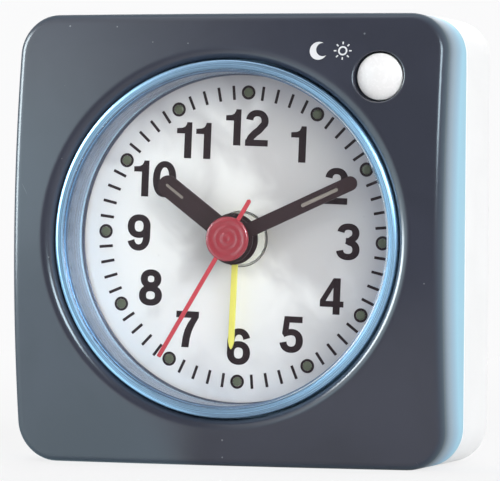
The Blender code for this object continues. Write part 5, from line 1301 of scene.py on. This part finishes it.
def makeDoor():
    bm = bmesh.new()
    loop, ease = doorLoop(bay["doorGap"]), back["ease"]
    front, edge = addWall(bm, (loop, door["front"]), (loop, door["back"] - ease),
                          (grown(loop, -ease), door["back"]))
    fillRings(bm, front)
    mouths = []
    half, reach = door["grooveHalf"], door["grooveReach"]
    for k in range(door["grooves"]):
        z = bay["top"] - door["grooveFrom"] + k * door["groovePitch"]
        groove = boxLoop(-half, half, z - reach, z + reach, door["grooveCorner"], steps=4)
        mouth, low = addWall(bm, (groove, door["back"]),
                             (grown(groove, -door["grooveEase"]), door["back"] - door["grooveDepth"]))
        fillRings(bm, low)
        mouths.append(mouth)
    fillRings(bm, edge, mouths)
    return addPiece("batteryDoor", bm, "white", "door", "white_plastic", "battery_door")


screw = {
    "names": ("top_right", "top_left", "low_left", "low_right"), "seat": 0.0020, "length": 0.0085,
    "head": 0.0015, "headHeight": 0.0012, "headEdge": ((0.0, 0.0005), (0.00015, 0.0002), (0.0004, 0.0)),
    "shank": 0.00085, "tip": ((0.0, 0.0), (0.55, 0.0001), (1.0, 0.0009)),
    "cross": 0.0009, "crossHalf": 0.00022, "crossDepth": 0.0006, "crossTaper": 0.8,
}


def makeScrews():
    top, tip = screw["seat"] + screw["headHeight"], screw["seat"] - screw["length"]
    profile = [(screw["shank"] * share, tip + rise) for share, rise in screw["tip"]]
    profile += [(screw["shank"], screw["seat"]), (screw["head"], screw["seat"])]
    profile += [(screw["head"] - inwards, top - down) for inwards, down in screw["headEdge"]]
    half, reach, taper = screw["crossHalf"], screw["cross"], screw["crossTaper"]
    cross = [(half, half), (half, reach), (-half, reach), (-half, half), (-reach, half), (-reach, -half),
             (-half, -half), (-half, -reach), (half, -reach), (half, -half), (reach, -half), (reach, half)]
    for name, (x, z) in zip(screw["names"], back["screws"]):
        bm = bmesh.new()
        addLathe(bm, profile, (x, z), 40)
        rim = [vert for vert in bm.verts if abs(vert.co.y - top) < 1e-7]
        mouth, low = addWall(bm, ([(x + u, z + v) for u, v in cross], top),
                             ([(x + u * taper, z + v * taper) for u, v in cross], top - screw["crossDepth"]))
        fillRings(bm, low)
        fillRings(bm, rim, [mouth])
        title = "".join(part.title() for part in name.split("_"))
        addPiece("caseScrew" + title, bm, "steel", "case", "screw_steel", "case_screw_" + name)


def makeCell():
    bm = bmesh.new()
    low, high = cell["x"]
    radius, nub, shoulder = cell["radius"], cell["nub"], high - cell["nubLength"]
    profile = filleted([(0.0, low, 0.0), (radius, low, 0.0005), (radius, shoulder, 0.0006),
                        (nub, shoulder, 0.0), (nub, high, 0.0003), (0.0, high, 0.0)])
    addLathe(bm, profile, (0.0, 0.0), 72)
    turn = Matrix.Rotation(-pi / 2, 4, "Z")
    bmesh.ops.transform(bm, matrix=Matrix.Translation((0, cell["y"], cell["z"])) @ turn, verts=bm.verts)
    return addPiece("dryCell", bm, "cell", "case", "battery_jacket", "battery")


makeKnob("time", "timeKnob", "time_setting")
makeKnob("alarm", "alarmKnob", "alarm_setting")
makeSwitch()
makeDoor()
makeScrews()
makeCell()
print("back made")


# The frame's own pieces that stay get their finishes

finishes = {
    "natural": ("movement_tray", "movement_bridge", "movement_cover", "coil_bobbin"),
    "wheel": ("second_wheel", "third_wheel", "centre_wheel", "fifth_wheel", "cannon_pinion", "motion_wheel",
              "hour_wheel", "alarm_wheel", "time_set_arbor", "alarm_set_arbor"),
    "magnet": ("rotor",), "iron": ("stator_plate",), "copper": ("coil_winding",), "board": ("circuit_board",),
    "black": ("control_chip", "snooze_switch"), "can": ("quartz_crystal",), "lamp": ("dial_lamp",),
    "spring": ("switch_contact", "battery_contact_positive", "battery_contact_negative"),
    "brass": ("buzzer_disc",),
}
for finish, names in finishes.items():
    for name in names:
        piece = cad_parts[name]
        piece.data.materials.clear()
        piece.data.materials.append(paint[finish])
print("frame pieces finished")


# Floor, light and background

studio = {
    "pale": (0.96, 0.96, 0.965, 1.0), "ambient": 0.42,
    # What gloss shows of the room, by bearing from the front in radians, plus to the right: a lit wall on the
    # left, which fades towards the middle, and a dim corner on the right
    "wallTint": (0.64, 0.92, 1.0, 1.0), "wallLight": 2.3, "wallFrom": (-1.9, -1.6), "wallTo": (-0.60, -0.22),
    "wallHeights": (0.12, 0.55, 1.0, 0.22),   # slopes between which it fades, and its share low and high
    "wallOnFloor": 0.8, "dim": 0.15, "dimTo": (1.0, 1.5),
    "dimReach": (0.03, 0.25, 0.45, 1.0),      # the floor in front is less dim near the clock
    "floorColor": (0.885, 0.885, 0.89, 1.0), "floorReach": (0.09, 0.45, 0.80, 1.0), "floorHalf": 6,
    "floorZ": -0.00002,
    "aim": (0, 0, 0.03),
    "lamps": {
        # name: place, width, height, watts, colour
        "rightKey": ((0.58, -0.675, 0.37), 0.70, 0.70, 6.2, (1.0, 0.995, 0.985)),
        "leftWall": ((-0.76, -0.48, 0.10), 1.0, 0.7, 1.2, (0.98, 0.99, 1.0)),
        "rightSoft": ((0.75, 0.05, 0.25), 0.5, 0.5, 0.3, (1.0, 1.0, 1.0)),
        "topSoft": ((-0.1, 0.0, 0.9), 0.6, 0.6, 1.8, (1.0, 1.0, 1.0)),
        "backSoft": ((-0.2, 0.85, 0.35), 0.5, 0.5, 2.8, (1.0, 1.0, 1.0)),
        "stripGloss": ((-0.81, -0.19, 0.21), 0.48, 0.6, 15.0, (0.84, 0.95, 1.0)),
        "keyGloss": ((0.50, -0.58, 0.32), 0.30, 0.30, 5.0, (0.70, 0.90, 1.0)),
    },
}


def seenDirectly(tree):
    # 1 for rays that show the background itself: camera, glossy and transmission rays
    path = named(node(tree, "LightPath").outputs)
    shown = calc("MAXIMUM", path["Is Camera Ray"], path["Is Glossy Ray"])
    return calc("MAXIMUM", shown, path["Is Transmission Ray"])


def roomGloss(tree, x, y, wallShare, dimShare):
    # Colour and strength of the room as gloss shows it; camera rays see it plain and pale
    glossy = named(node(tree, "LightPath").outputs)["Is Glossy Ray"]
    bearing = calc("ARCTAN2", x, y * -1.0)
    wall = scaled(bearing, *studio["wallFrom"]) * scaled(bearing, *studio["wallTo"], 1.0, 0.0)
    wall = wall * wallShare * glossy
    dim = scaled(bearing, *studio["wallTo"]) * scaled(bearing, *studio["dimTo"], 1.0, 0.0) * dimShare * glossy
    strength = scaled(dim, 0.0, 1.0, 1.0, studio["dim"], kind="LINEAR") + wall * (studio["wallLight"] - 1.0)
    return {"Color": blend(wall, studio["pale"], studio["wallTint"]), "Strength": strength}


def makeWorld():
    world = bpy.data.worlds.new("studioWorld")
    world.use_nodes = True
    tree = world.node_tree
    tree.nodes.clear()
    x, y, z = axes(put(tree, "TexCoord", output="Generated"))
    light = put(tree, "Background", {"Color": (1, 1, 1, 1), "Strength": studio["ambient"]})
    shown = put(tree, "Background", roomGloss(tree, x, y, scaled(z, *studio["wallHeights"]), 1.0))
    mixed = put(tree, "MixShader", {0: seenDirectly(tree), 1: light, 2: shown})
    node(tree, "OutputWorld", {"Surface": mixed})
    scene.world = world


def makeFloor():
    made = bpy.data.materials.new("studioFloor")
    made.use_nodes = True
    tree = made.node_tree
    tree.nodes.clear()
    x, y, _ = axes(position(tree))
    away = span(x, y)
    matt = put(tree, "BsdfDiffuse", {"Color": studio["floorColor"]})
    dimShare = scaled(away, *studio["dimReach"])
    glow = put(tree, "Emission", roomGloss(tree, x, y, studio["wallOnFloor"], dimShare))
    share = seenDirectly(tree) * scaled(away, *studio["floorReach"])
    node(tree, "OutputMaterial", {"Surface": put(tree, "MixShader", {0: share, 1: matt, 2: glow})})
    bm = bmesh.new()
    far = studio["floorHalf"]
    corners = ((-far, -far), (far, -far), (far, far), (-far, far))
    bm.faces.new([bm.verts.new((*corner, studio["floorZ"])) for corner in corners])
    floor = addObject("studioFloor", meshFrom("studioFloor", bm, made))


def makeLamps():
    for name, (place, width, height, watts, color) in studio["lamps"].items():
        data = bpy.data.lights.new(name, "AREA")
        data.shape = "RECTANGLE"
        data.size, data.size_y = width, height
        data.energy, data.color = watts, color
        lamp = addObject(name, data)
        lamp.location = place
        lamp.rotation_euler = (Vector(studio["aim"]) - Vector(place)).to_track_quat("-Z", "Y").to_euler()
        # The gloss lamps show in gloss alone, and the key leaves its highlights to one of them
        lamp.visible_diffuse = not name.endswith("Gloss")
        lamp.visible_glossy = name != "rightKey"


makeWorld()
makeFloor()
makeLamps()
scene.view_settings.view_transform = "Standard"
print("studio made")
